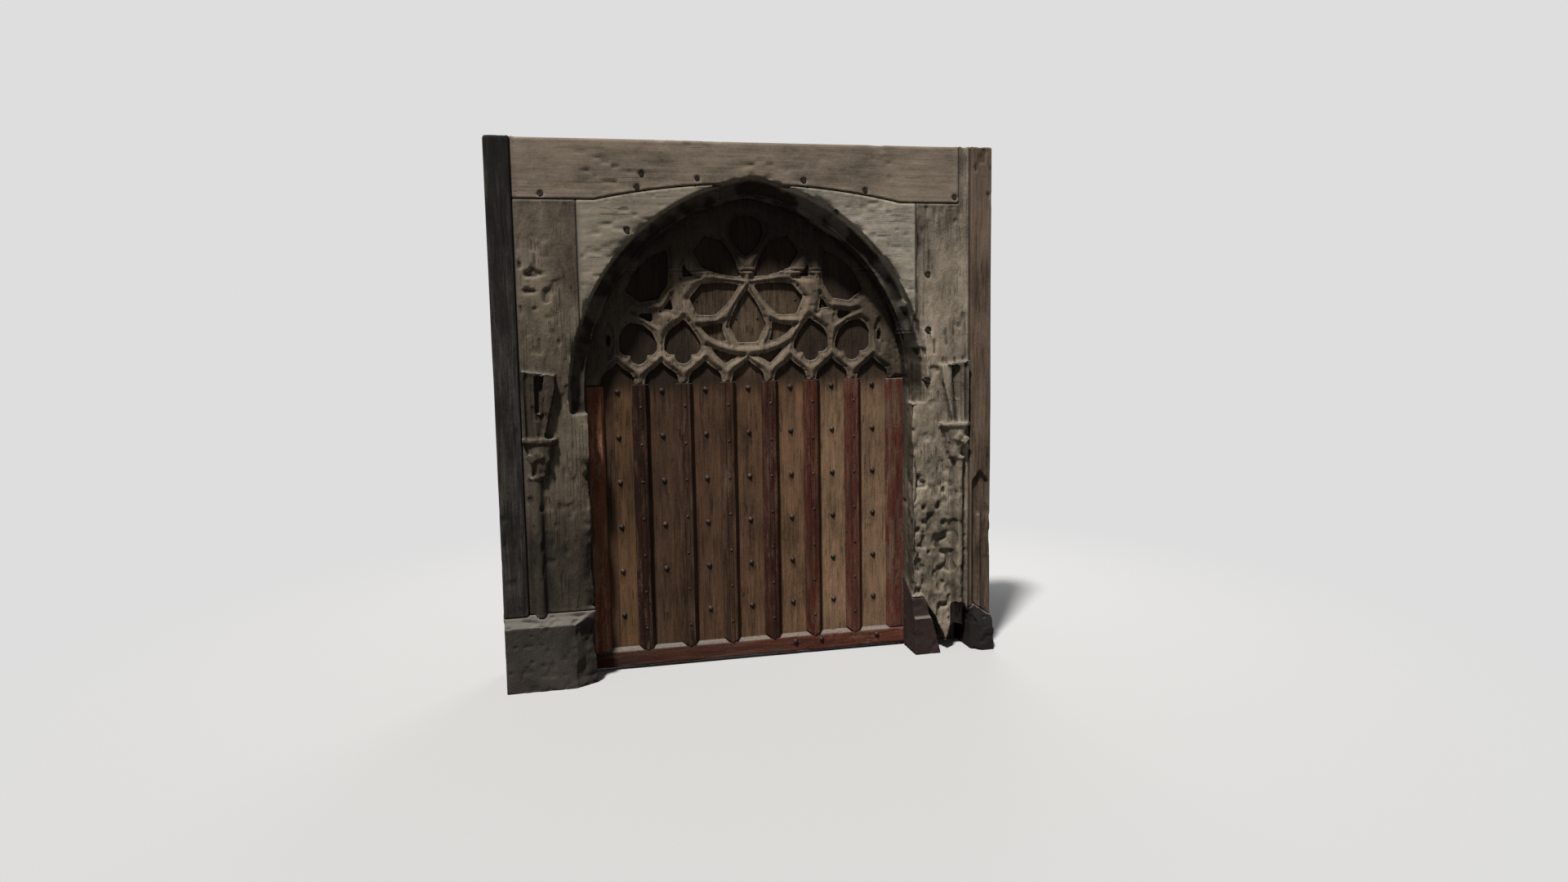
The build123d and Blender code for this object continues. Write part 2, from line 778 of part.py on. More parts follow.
# Ribs: moulded strips whose pointed feet die on the rail's slope
with BuildPart() as rib:
    with BuildSketch(Plane.XY.offset(rail_top - 10)):
        with BuildLine():
            Polyline(
                (-rib_half, board_face_y),
                (-rib_half, board_face_y - rib_side),
                (-rib_face_half, leaf_face_y),
                (-quirk_place - quirk_size, leaf_face_y),
                (-quirk_place, leaf_face_y + quirk_size),
                (-quirk_place + quirk_size, leaf_face_y),
                (quirk_place - quirk_size, leaf_face_y),
                (quirk_place, leaf_face_y + quirk_size),
                (quirk_place + quirk_size, leaf_face_y),
                (rib_face_half, leaf_face_y),
                (rib_half, board_face_y - rib_side),
                (rib_half, board_face_y),
                close=True,
            )
        make_face()
    extrude(amount=tracery_foot - rail_top + 10)
    with BuildSketch(front_at(board_face_y)):
        with BuildLine():
            Polyline(
                (-rib_half, rail_top + rib_point),
                (0, rail_top),
                (rib_half, rail_top + rib_point),
                (rib_half, rail_top - 20),
                (-rib_half, rail_top - 20),
                close=True,
            )
        make_face()
    extrude(amount=relief, mode=Mode.SUBTRACT)
    add(bottom_rail.part, mode=Mode.SUBTRACT)
ribs = []
for x in rib_places:
    with BuildPart() as placed_rib:
        add(Pos(x, 0, 0) * rib.part)
        add(rib_nail_holes, mode=Mode.SUBTRACT)
    ribs.append(placed_rib.part)

# Stiles along both edges of the leaf
with BuildPart() as leaf_relief:
    extrude(pointed_arch(leaf_half, leaf_floor_gap, board_face_y), amount=relief)
with BuildPart() as right_stile:
    with BuildSketch(Plane.XY.offset(leaf_floor_gap)):
        with BuildLine():
            Polyline(
                (stile_inner, board_face_y),
                (stile_inner, board_face_y - rib_side),
                (stile_inner + rib_half - rib_face_half, leaf_face_y),
                (leaf_half, leaf_face_y),
                (leaf_half, board_face_y),
                close=True,
            )
        make_face()
    extrude(amount=tracery_foot - leaf_floor_gap)
    add(leaf_relief.part, mode=Mode.INTERSECT)
    add(bottom_rail.part, mode=Mode.SUBTRACT)
with BuildPart() as left_stile:
    mirror(right_stile.part, about=Plane.YZ)

# Tracery: each light is an outline of straight and bowed sides, in pitches from
# the foot of the tracery; a bowed side is written as (point on the bow, end)
head = [(0, -0.2), (0.40, -0.2), (0.40, 0.03), ((0.36, 0.20), (0.20, 0.34)), ((0.09, 0.42), (0, 0.52))]
crown = [(0, 2.82), ((0.24, 3.02), (0.40, 3.34)), ((0.33, 3.68), (0, 3.80))]
inner_oval = [
    (1.5, 0.42),
    ((1.66, 0.50), (1.69, 0.64)),
    ((1.90, 0.70), (1.93, 0.90)),
    ((1.86, 1.15), (1.70, 1.30)),
    ((1.58, 1.38), (1.47, 1.47)),
    ((1.2, 1.12), (1.08, 0.90)),
    ((1.10, 0.70), (1.31, 0.64)),
    ((1.34, 0.50), (1.5, 0.42)),
]
outer_oval = [
    (2.5, 0.42),
    ((2.66, 0.50), (2.69, 0.64)),
    ((2.90, 0.70), (2.94, 0.90)),
    ((2.92, 1.18), (2.68, 1.42)),
    ((2.2, 1.20), (2.07, 0.90)),
    ((2.10, 0.70), (2.31, 0.64)),
    ((2.34, 0.50), (2.5, 0.42)),
]
under_ring = [
    (0.14, 0.60),
    ((0.5, 0.655), (0.92, 0.84)),
    ((0.70, 0.58), (0.52, 0.40)),
    ((0.34, 0.52), (0.14, 0.60)),
]
beside_inner = [(1.75, 1.98), (1.68, 1.60), ((1.86, 1.66), (1.98, 1.64)), ((1.84, 1.78), (1.75, 1.98))]
beside_outer = [(2.13, 1.36), (2.13, 1.62), ((2.36, 1.60), (2.58, 1.60)), ((2.34, 1.46), (2.13, 1.36))]
flank = [
    (1.80, 2.22),
    ((2.22, 1.80), (2.78, 2.06)),
    ((2.40, 2.70), (1.80, 3.02)),
    ((1.77, 2.6), (1.80, 2.22)),
]
slit = [(3.17, 0.76), ((3.25, 1.0), (3.17, 1.26)), ((3.09, 1.0), (3.17, 0.76))]
upper_eye = [(1.12, 2.40), (1.48, 2.38), ((1.50, 2.52), (1.44, 2.74)), ((1.33, 2.50), (1.12, 2.40))]
lower_eye = [
    (0.56, 1.375),
    ((0.86, 1.30), (1.12, 1.285)),
    ((0.84, 1.03), (0.47, 0.90)),
    ((0.55, 1.1), (0.56, 1.375)),
]
rosette = (0, 2.28)
petals = [(270, 0.44, 1.47), (204, 0.40, 1.45), (336, 0.40, 1.45), (142, 0.40, 1.48), (38, 0.40, 1.48)]


def with_mirror(half):
    """Close a half outline that runs from the foot to the tip with its mirror image."""
    ends = [step[1] if isinstance(step[0], tuple) else step for step in half]
    outline = list(half)
    for i in range(len(half) - 1, 0, -1):
        end = (-ends[i - 1][0], ends[i - 1][1])
        step = half[i]
        outline.append(((-step[0][0], step[0][1]), end) if isinstance(step[0], tuple) else end)
    return outline


def petal_outline(direction, half_width, reach):
    """Pointed petal that runs out from the rosette's centre."""
    turn = math.radians(direction)

    def place(out, across):
        return (
            rosette[0] + out * math.cos(turn) - across * math.sin(turn),
            rosette[1] + out * math.sin(turn) + across * math.cos(turn),
        )

    return [
        place(petal_bar, 0),
        (place(0.56, 0.62 * half_width), place(1.0, half_width)),
        (place(reach, 0), place(1.0, -half_width)),
        (place(0.56, -0.62 * half_width), place(petal_bar, 0)),
    ]


def corners_of(outline, side, shift):
    """Corner points in millimetres, with each bowed side cut into short chords."""
    def place(point):
        return ((side * point[0] + shift) * panel_pitch, tracery_foot + point[1] * panel_pitch)

    corners = [place(outline[0])]
    for step in outline[1:]:
        if isinstance(step[0], tuple):
            bow = ThreePointArc(corners[-1], place(step[0]), place(step[1]))
            corners += [tuple(bow @ (i / light_chords))[:2] for i in range(1, light_chords + 1)]
        else:
            corners.append(place(step))
    return corners[:-1]


def light(outline, side=1, shift=0):
    """Cutter for one light: splayed sides in front, straight sides behind."""
    corners = corners_of(outline, side, shift)
    across = [x for x, z in corners]
    up = [z for x, z in corners]
    middle = ((min(across) + max(across)) / 2, (min(up) + max(up)) / 2)
    half = min(max(across) - min(across), max(up) - min(up)) / 2

    def outline_at(y, share):
        with BuildSketch(front_at(y)) as sketch:
            with BuildLine():
                Polyline(
                    *[
                        (middle[0] + share * (x - middle[0]), middle[1] + share * (z - middle[1]))
                        for x, z in corners
                    ],
                    close=True,
                )
            make_face()
        return sketch.sketch

    with BuildPart() as cutter:
        deep = outline_at(leaf_face_y + splay_depth, 1 - splay_width / 2 / half)
        wide = outline_at(leaf_face_y, 1 + splay_width / 2 / half)
        loft([deep.face(), wide.face()], ruled=True)
        extrude(deep, amount=splay_depth - relief - 2)
    return cutter.part


lights = [light(with_mirror(head), 1, x) for x in range(-panels_each_side, panels_each_side + 1)]
lights.append(light(with_mirror(crown)))
lights += [light(petal_outline(*petal)) for petal in petals]
side_lights = (
    inner_oval, outer_oval, under_ring, beside_inner, beside_outer, flank, slit, upper_eye, lower_eye
)
for outline in side_lights:
    lights += [light(outline, 1), light(outline, -1)]

with BuildPart() as tracery:
    add(leaf_relief.part)
    with Locations((0, 0, tracery_foot)):
        Box(
            4 * leaf_half,
            4 * plinth_half_depth,
            lintel_top,
            align=(Align.CENTER, Align.CENTER, Align.MIN),
            mode=Mode.INTERSECT,
        )
    for cutter in lights:
        add(cutter, mode=Mode.SUBTRACT)
with BuildPart() as tracery_lower:
    add(tracery.part)
    split(bisect_by=Plane.XY.offset(tracery_foot + head_joint_rise), keep=Keep.BOTTOM)
with BuildPart() as tracery_upper:
    add(tracery.part)
    split(bisect_by=Plane.XY.offset(tracery_foot + head_joint_rise), keep=Keep.TOP)

# Ledges across the back, each with softened back edges
leaf_radius = leaf_half + arch_offset
head_ledge_z = tracery_foot + head_ledge_above_tracery
head_ledge_half = arch_half_width(leaf_radius, head_ledge_z + ledge_height / 2) - ledge_inset
strap_end_x = hinge_x + strap_length
strap_nail_pitch = (strap_length - 160) / (strap_nail_count - 1)
strap_nail_xs = [hinge_x + 110 + strap_nail_pitch * i for i in range(strap_nail_count)]
strap_nail_places = [(x, row) for row in strap_rows for x in strap_nail_xs]
strap_nail_holes = holes_for(
    strap_nail_places, ledge_back_y + strap_thick, shank_radius + nail_clearance, -nail_shank
)
ledges = []
for z, half in [(row, leaf_half - ledge_inset) for row in rows] + [(head_ledge_z, head_ledge_half)]:
    with BuildPart() as ledge:
        with BuildSketch(Plane.YZ.offset(-half)):
            with BuildLine():
                Polyline(
                    (board_back_y, z - ledge_height / 2),
                    (ledge_back_y - ledge_chamfer, z - ledge_height / 2),
                    (ledge_back_y, z - ledge_height / 2 + ledge_chamfer),
                    (ledge_back_y, z + ledge_height / 2 - ledge_chamfer),
                    (ledge_back_y - ledge_chamfer, z + ledge_height / 2),
                    (board_back_y, z + ledge_height / 2),
                    close=True,
                )
            make_face()
        extrude(amount=2 * half)
        add(stud_holes, mode=Mode.SUBTRACT)
        add(strap_nail_holes, mode=Mode.SUBTRACT)
    ledges.append(ledge.part)

# Hinge straps, each with an eye that turns on its pintle
straps = []
for row in strap_rows:
    with BuildPart() as strap:
        with BuildSketch(front_at(ledge_back_y + strap_thick)):
            with BuildLine():
                Polyline(
                    (hinge_x, row - strap_height / 2),
                    (strap_end_x - strap_height, row - strap_end_height / 2),
                    (strap_end_x - strap_height / 2, row - strap_height / 2),
                    (strap_end_x, row),
                    (strap_end_x - strap_height / 2, row + strap_height / 2),
                    (strap_end_x - strap_height, row + strap_end_height / 2),
                    (hinge_x, row + strap_height / 2),
                    close=True,
                )
            make_face()
        extrude(amount=strap_thick)
        with Locations((hinge_x, hinge_y, row)):
            Cylinder(eye_radius, strap_height)
            Cylinder(pin_radius + pin_clearance, 2 * strap_height, mode=Mode.SUBTRACT)
        add(strap_nail_holes, mode=Mode.SUBTRACT)
    straps.append(strap.part)

# Pintles driven into the back of the left jamb
pintles = []
for row in strap_rows:
    seat = row - strap_height / 2 - pintle_seat_gap
    with BuildPart() as pintle:
        with Locations((hinge_x, hinge_y, seat - pintle_shank)):
            Cylinder(
                pin_radius,
                pintle_shank + pintle_seat_gap + strap_height + pin_rise,
                align=(Align.CENTER, Align.CENTER, Align.MIN),
            )
            Cylinder(eye_radius - 2, pintle_shank, align=(Align.CENTER, Align.CENTER, Align.MIN))
        with Locations((hinge_x, hinge_y, seat)):
            Box(
                pintle_shank,
                hinge_y - back_y + shank_depth,
                pintle_shank,
                align=(Align.CENTER, Align.MAX, Align.MAX),
            )
        with Locations((hinge_x, back_y, seat)):
            Box(
                pintle_plate_width,
                pintle_plate_thick,
                pintle_plate_height,
                align=(Align.CENTER, Align.MIN, Align.MAX),
            )
    pintles.append(pintle.part)

# Draw bolt on the fifth ledge, its staples, and its keeper on the right jamb
bolt_z = rows[4]
bolt_y = ledge_back_y + bolt_standoff + bolt_radius
bolt_tip_x = leaf_half - bolt_tip_inset
bolt_bore = bolt_radius + bolt_clearance
with BuildPart() as draw_bolt:
    with BuildSketch(Plane.YZ.offset(bolt_tip_x)):
        with Locations((bolt_y, bolt_z)):
            Circle(bolt_radius)
    extrude(amount=-bolt_length)
    with Locations((bolt_tip_x - bolt_handle_from_tip, bolt_y, bolt_z)):
        Cylinder(
            bolt_handle_radius,
            bolt_radius + bolt_handle_drop,
            align=(Align.CENTER, Align.CENTER, Align.MAX),
        )
    with Locations((bolt_tip_x - bolt_handle_from_tip, bolt_y, bolt_z - bolt_radius - bolt_handle_drop)):
        Sphere(bolt_handle_radius + 3)


with BuildPart() as staple:
    with BuildSketch(Plane.YZ):
        with Locations((bolt_y, bolt_z)):
            Circle(bolt_bore + staple_wall)
        with Locations((ledge_back_y, bolt_z)):
            Rectangle(
                bolt_y - ledge_back_y, 2 * (bolt_bore + staple_wall), align=(Align.MIN, Align.CENTER)
            )
        with Locations((bolt_y, bolt_z)):
            Circle(bolt_bore, mode=Mode.SUBTRACT)
        with Locations((ledge_back_y - bolt_radius, bolt_z)):
            Rectangle(2 * bolt_radius, 4 * bolt_radius, mode=Mode.SUBTRACT)
    extrude(amount=staple_width / 2, both=True)
staple_xs = [bolt_tip_x - staple_from_tip, bolt_tip_x - staple_from_tip - staple_spacing]
bolt_staples = Compound(children=[Pos(x, 0, 0) * staple.part for x in staple_xs])

keeper_eye = bolt_radius + keeper_clearance
with BuildPart() as bolt_keeper:
    with Locations((leaf_half + keeper_from_leaf, back_y, bolt_z)):
        Box(
            keeper_width + 2 * keeper_lip,
            keeper_plate_thick,
            keeper_plate,
            align=(Align.CENTER, Align.MIN, Align.CENTER),
        )
        Box(
            keeper_width,
            bolt_y + keeper_eye + staple_wall - back_y,
            2 * (keeper_eye + staple_wall),
            align=(Align.CENTER, Align.MIN, Align.CENTER),
        )
    with Locations((leaf_half + keeper_from_leaf, bolt_y + keeper_eye, bolt_z)):
        Box(
            2 * keeper_width,
            bolt_y + keeper_eye - back_y - keeper_plate_thick,
            2 * keeper_eye,
            align=(Align.CENTER, Align.MAX, Align.CENTER),
            mode=Mode.SUBTRACT,
        )

# Pull ring on the fourth ledge and the plate it hangs from
ring_x = leaf_half - ring_from_edge
ring_y = ledge_back_y + lug_standoff
ring_pivot_z = rows[3] + ring_above_ledge
lug_bore = ring_wire + ring_bore_clearance
with BuildPart() as pull_plate:
    with Locations((ring_x, ledge_back_y, ring_pivot_z)):
        Box(plate_size, plate_thick, plate_size, align=(Align.CENTER, Align.MIN, Align.CENTER))
        Box(
            lug_width,
            ring_y - ledge_back_y,
            2 * (lug_bore + lug_wall),
            align=(Align.CENTER, Align.MIN, Align.CENTER),
        )
    with BuildSketch(Plane.YZ.offset(ring_x - lug_width / 2)):
        with Locations((ring_y, ring_pivot_z)):
            Circle(lug_bore + lug_wall)
    extrude(amount=lug_width)
    with BuildSketch(Plane.YZ.offset(ring_x - lug_width)):
        with Locations((ring_y, ring_pivot_z)):
            Circle(lug_bore)
    extrude(amount=2 * lug_width, mode=Mode.SUBTRACT)
with BuildPart() as pull_ring:
    with Locations((ring_x, ring_y, ring_pivot_z - ring_radius)):
        Torus(ring_radius, ring_wire, rotation=(90, 0, 0))

# Nails
panel_studs = nail_group(stud_places, board_face_y, stud_radius, stud_height, stud_shank)
rib_nails = nail_group(rib_nail_places, leaf_face_y, nail_radius, nail_height, nail_shank)
rail_nails = nail_group(rail_nail_places, leaf_face_y, rail_nail_radius, rail_nail_height, nail_shank)
tracery_nails = nail_group(tracery_nail_places, board_face_y, nail_radius, nail_height, nail_shank)
back_nail = Rot(0, 0, 180) * nail(strap_nail_radius, nail_height, nail_shank)
strap_nails = Compound(
    children=[Pos(x, ledge_back_y + strap_thick, z) * back_nail for x, z in strap_nail_places]
)

pieces = {
    "left_jamb": left_jamb.part,
    "right_jamb": right_jamb.part,
    "left_post": left_post.part,
    "right_post": right_post.part,
    "lintel": lintel.part,
    "left_spandrel": left_spandrel.part,
    "right_spandrel": right_spandrel.part,
    "frame_pegs": frame_pegs,
    "left_plinth": left_plinth.part,
    "right_inner_plinth": right_inner_plinth.part,
    "right_outer_plinth": right_outer_plinth.part,
    "lower_pintle": pintles[0],
    "upper_pintle": pintles[1],
    "bolt_keeper": bolt_keeper.part,
    "left_stile": left_stile.part,
    "right_stile": right_stile.part,
    "bottom_rail": bottom_rail.part,
    "tracery_lower": tracery_lower.part,
    "tracery_upper": tracery_upper.part,
    "lower_strap": straps[0],
    "upper_strap": straps[1],
    "strap_nails": strap_nails,
    "panel_studs": panel_studs,
    "rib_nails": rib_nails,
    "rail_nails": rail_nails,
    "tracery_nails": tracery_nails,
    "bolt_staples": bolt_staples,
    "draw_bolt": draw_bolt.part,
    "pull_plate": pull_plate.part,
    "pull_ring": pull_ring.part,
}
pieces.update({f"board_{i + 1}": piece for i, piece in enumerate(boards)})
pieces.update({f"rib_{i + 1}": piece for i, piece in enumerate(ribs)})
pieces.update({f"ledge_{i + 1}": piece for i, piece in enumerate(ledges)})

os.makedirs("parts", exist_ok=True)
for name, piece in pieces.items():
    piece.label = name
    export_step(piece, f"parts/{name}.step")
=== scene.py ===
import math

import bpy
import numpy as np
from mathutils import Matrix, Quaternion, Vector
from mathutils.bvhtree import BVHTree


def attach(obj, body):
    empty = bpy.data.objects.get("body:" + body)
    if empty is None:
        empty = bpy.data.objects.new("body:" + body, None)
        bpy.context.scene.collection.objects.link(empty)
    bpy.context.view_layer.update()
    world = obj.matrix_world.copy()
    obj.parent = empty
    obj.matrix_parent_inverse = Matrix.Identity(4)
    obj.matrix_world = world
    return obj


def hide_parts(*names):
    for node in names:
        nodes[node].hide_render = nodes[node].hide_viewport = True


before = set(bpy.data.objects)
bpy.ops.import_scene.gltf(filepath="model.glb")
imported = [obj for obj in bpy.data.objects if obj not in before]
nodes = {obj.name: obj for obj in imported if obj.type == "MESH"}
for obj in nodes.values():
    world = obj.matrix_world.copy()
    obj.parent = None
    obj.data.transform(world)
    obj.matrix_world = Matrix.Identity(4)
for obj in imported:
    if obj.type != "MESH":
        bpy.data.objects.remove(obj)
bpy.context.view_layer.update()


def least(node, axis):
    """Lowest coordinate of a CAD node along an axis, to a tenth of a millimetre."""
    return round(min(corner["XYZ".index(axis)] for corner in nodes[node].bound_box), 4)


def most(node, axis):
    """Highest coordinate of a CAD node along an axis, to a tenth of a millimetre."""
    return round(max(corner["XYZ".index(axis)] for corner in nodes[node].bound_box), 4)


# Places that the wear follows, in metres
face_y = least("left_spandrel", "Y")
leaf_face_y = least("bottom_rail", "Y")
board_face_y = least("board_5", "Y")
opening_half = least("right_inner_plinth", "X")
tracery_foot = least("tracery_lower", "Z")
spring_z = tracery_foot - 0.042
arch_centre = 0.141  # each arc is struck from this far beyond the middle line
moulding_width = 0.080
outer_radius = opening_half + arch_centre + moulding_width
panel_half = (most("board_5", "X") + least("board_6", "X")) / 2
stud_row_z = (least("ledge_1", "Z") + most("ledge_1", "Z")) / 2
stud_row_rise = least("ledge_2", "Z") - least("ledge_1", "Z")
shaft_x = least("right_post", "X") - 0.054
shaft_radius = 0.026
shaft_foot_z = 0.237
shaft_top_z = 0.972
capital_top_z = 1.155
stub_top_z = 1.459
carving_x = 0.90  # the shaft, capital and stub of each jamb lie beyond this


# Noise and mesh helpers


def value_noise(points, seed):
    """Smooth noise from 0 to 1 at each row of points, one cell per unit."""
    cell = np.floor(points).astype(np.int64)
    part = points - cell
    ease = part * part * (3 - 2 * part)
    total = np.zeros(len(points))
    for corner in range(8):
        step = np.array([corner & 1, corner >> 1 & 1, corner >> 2 & 1])
        at = (cell + step) & 0xFFFFF
        # a hash of the corner's place and the seed
        mixed = (at[:, 0] * 73856093) ^ (at[:, 1] * 19349663)
        mixed = mixed ^ (at[:, 2] * 83492791) ^ (seed * 2654435761)
        mixed = (mixed ^ (mixed >> 13)) * 1274126177 & 0x7FFFFFFF
        mixed = mixed ^ (mixed >> 15)
        weight = np.prod(np.where(step, ease, 1 - ease), axis=1)
        total += weight * (mixed & 0xFFFF) / 65535
    return total


def layered(points, seed, layers=3):
    """Several octaves of noise, from 0 to 1."""
    total, share, whole = 0, 1, 0
    for i in range(layers):
        total = total + share * value_noise(points * 2**i, seed + i)
        whole += share
        share *= 0.5
    return total / whole


def ramp(values, low, high):
    """0 at low, 1 at high, smooth between; low may be the larger."""
    t = np.clip((values - low) / (high - low), 0, 1)
    return t * t * (3 - 2 * t)


def coordinates(mesh):
    """Vertex places, one row each."""
    co = np.zeros(len(mesh.vertices) * 3)
    mesh.vertices.foreach_get("co", co)
    return co.reshape(-1, 3)


def set_coordinates(mesh, co):
    mesh.vertices.foreach_set("co", co.ravel())
    mesh.update()


def normals(mesh):
    """Vertex normals, one row each."""
    out = np.zeros(len(mesh.vertices) * 3)
    mesh.vertices.foreach_get("normal", out)
    return out.reshape(-1, 3)


def spread(values, edges, rounds):
    """Averages of each vertex's neighbours, taken several times."""
    count = len(values)
    degree = np.bincount(edges.ravel(), minlength=count).astype(float)
    degree[degree == 0] = 1
    for _ in range(rounds):
        out = np.zeros_like(values)
        for axis in range(values.shape[1]):
            out[:, axis] = np.bincount(edges[:, 0], weights=values[edges[:, 1], axis], minlength=count)
            out[:, axis] += np.bincount(edges[:, 1], weights=values[edges[:, 0], axis], minlength=count)
        values = out / degree[:, None]
    return values


def hollowness(mesh, rounds, reach):
    """How deep each vertex lies below its surroundings: 0.5 is flat, more is a hollow."""
    edges = np.zeros(len(mesh.edges) * 2, np.int32)
    mesh.edges.foreach_get("vertices", edges)
    edges = edges.reshape(-1, 2)
    co = coordinates(mesh)
    wide = spread(co, edges, rounds)
    depth = np.einsum("ij,ij->i", wide - co, normals(mesh))
    return np.clip(0.5 + depth / reach, 0, 1)


def remeshed(source, name, voxel, smooth):
    """A copy of a CAD node's mesh as an even grid of small faces with softened edges."""
    rough = bpy.data.objects.new(name + "_rough", source.data.copy())
    bpy.context.scene.collection.objects.link(rough)
    remesh = rough.modifiers.new("remesh", "REMESH")
    remesh.mode = "VOXEL"
    remesh.voxel_size = voxel
    soften = rough.modifiers.new("soften", "SMOOTH")
    soften.factor = 0.5
    soften.iterations = smooth
    mesh = bpy.data.meshes.new_from_object(rough.evaluated_get(bpy.context.evaluated_depsgraph_get()))
    bpy.data.objects.remove(rough)
    mesh.name = name
    return mesh


def tree_of(names):
    """Search tree over the faces of several CAD nodes."""
    points, faces = [], []
    for name in names:
        mesh = nodes[name].data
        start = len(points)
        points += [v.co.copy() for v in mesh.vertices]
        faces += [tuple(start + i for i in polygon.vertices) for polygon in mesh.polygons]
    return BVHTree.FromPolygons(points, faces)


def gaps_to(tree, co, reach):
    """Distance from each point to the nearest face of a tree, at most reach."""
    found = (tree.find_nearest(point, reach)[3] for point in map(Vector, co))
    return np.array([reach if gap is None else gap for gap in found])


def shut_joints(node, co, neighbours):
    """0 at a neighbour and 1 away from it. Moves points at a neighbour back to the CAD surface."""
    sharp, unworn, full_wear = 0.014, 0.004, 0.022  # distances from the joint
    if not neighbours:
        return np.ones(len(co))
    gap = gaps_to(tree_of(neighbours), co, 0.03)
    own = tree_of([node])
    for i in np.flatnonzero(gap < sharp):
        co[i] = own.find_nearest(Vector(co[i]))[0]
    return ramp(gap, unworn, full_wear)


def worn(node, body, material, voxel, depth, neighbours=(), dirt_and_shade=None, smooth=2, shape=None):
    """Replaces a CAD node by a weathered copy.

    depth and the darkening argument are functions of points and normals, and shape moves the points
    before the wear. The darkening paints shade in mouldings, reveals and recesses, besides cracks.
    """
    mesh = remeshed(nodes[node], node + "_worn", voxel, smooth)
    if shape is not None:
        set_coordinates(mesh, shape(coordinates(mesh)))
    co, out = coordinates(mesh), normals(mesh)
    away = shut_joints(node, co, neighbours)
    cut = away * np.maximum(depth(co, out), 0)
    set_coordinates(mesh, co - out * cut[:, None])
    mesh.polygons.foreach_set("use_smooth", np.ones(len(mesh.polygons), bool))
    # Darkening: painted shade from the piece, and dark joints where it meets its neighbours
    dark = np.zeros(len(co)) if dirt_and_shade is None else np.clip(dirt_and_shade(co, out), 0, 1)
    joint_dirt = 0.6 * (1 - away) ** 6
    shades = {"hollow": hollowness(mesh, 4, 0.008), "dirt_and_shade": np.maximum(dark, joint_dirt)}
    for name, values in shades.items():
        attribute = mesh.attributes.new(name, "FLOAT", "POINT")
        attribute.data.foreach_set("value", values.astype(np.float32))
    mesh.materials.clear()
    mesh.materials.append(material)
    piece = bpy.data.objects.new(node + "_worn", mesh)
    bpy.context.scene.collection.objects.link(piece)
    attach(piece, body)
    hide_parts(node)


# Materials


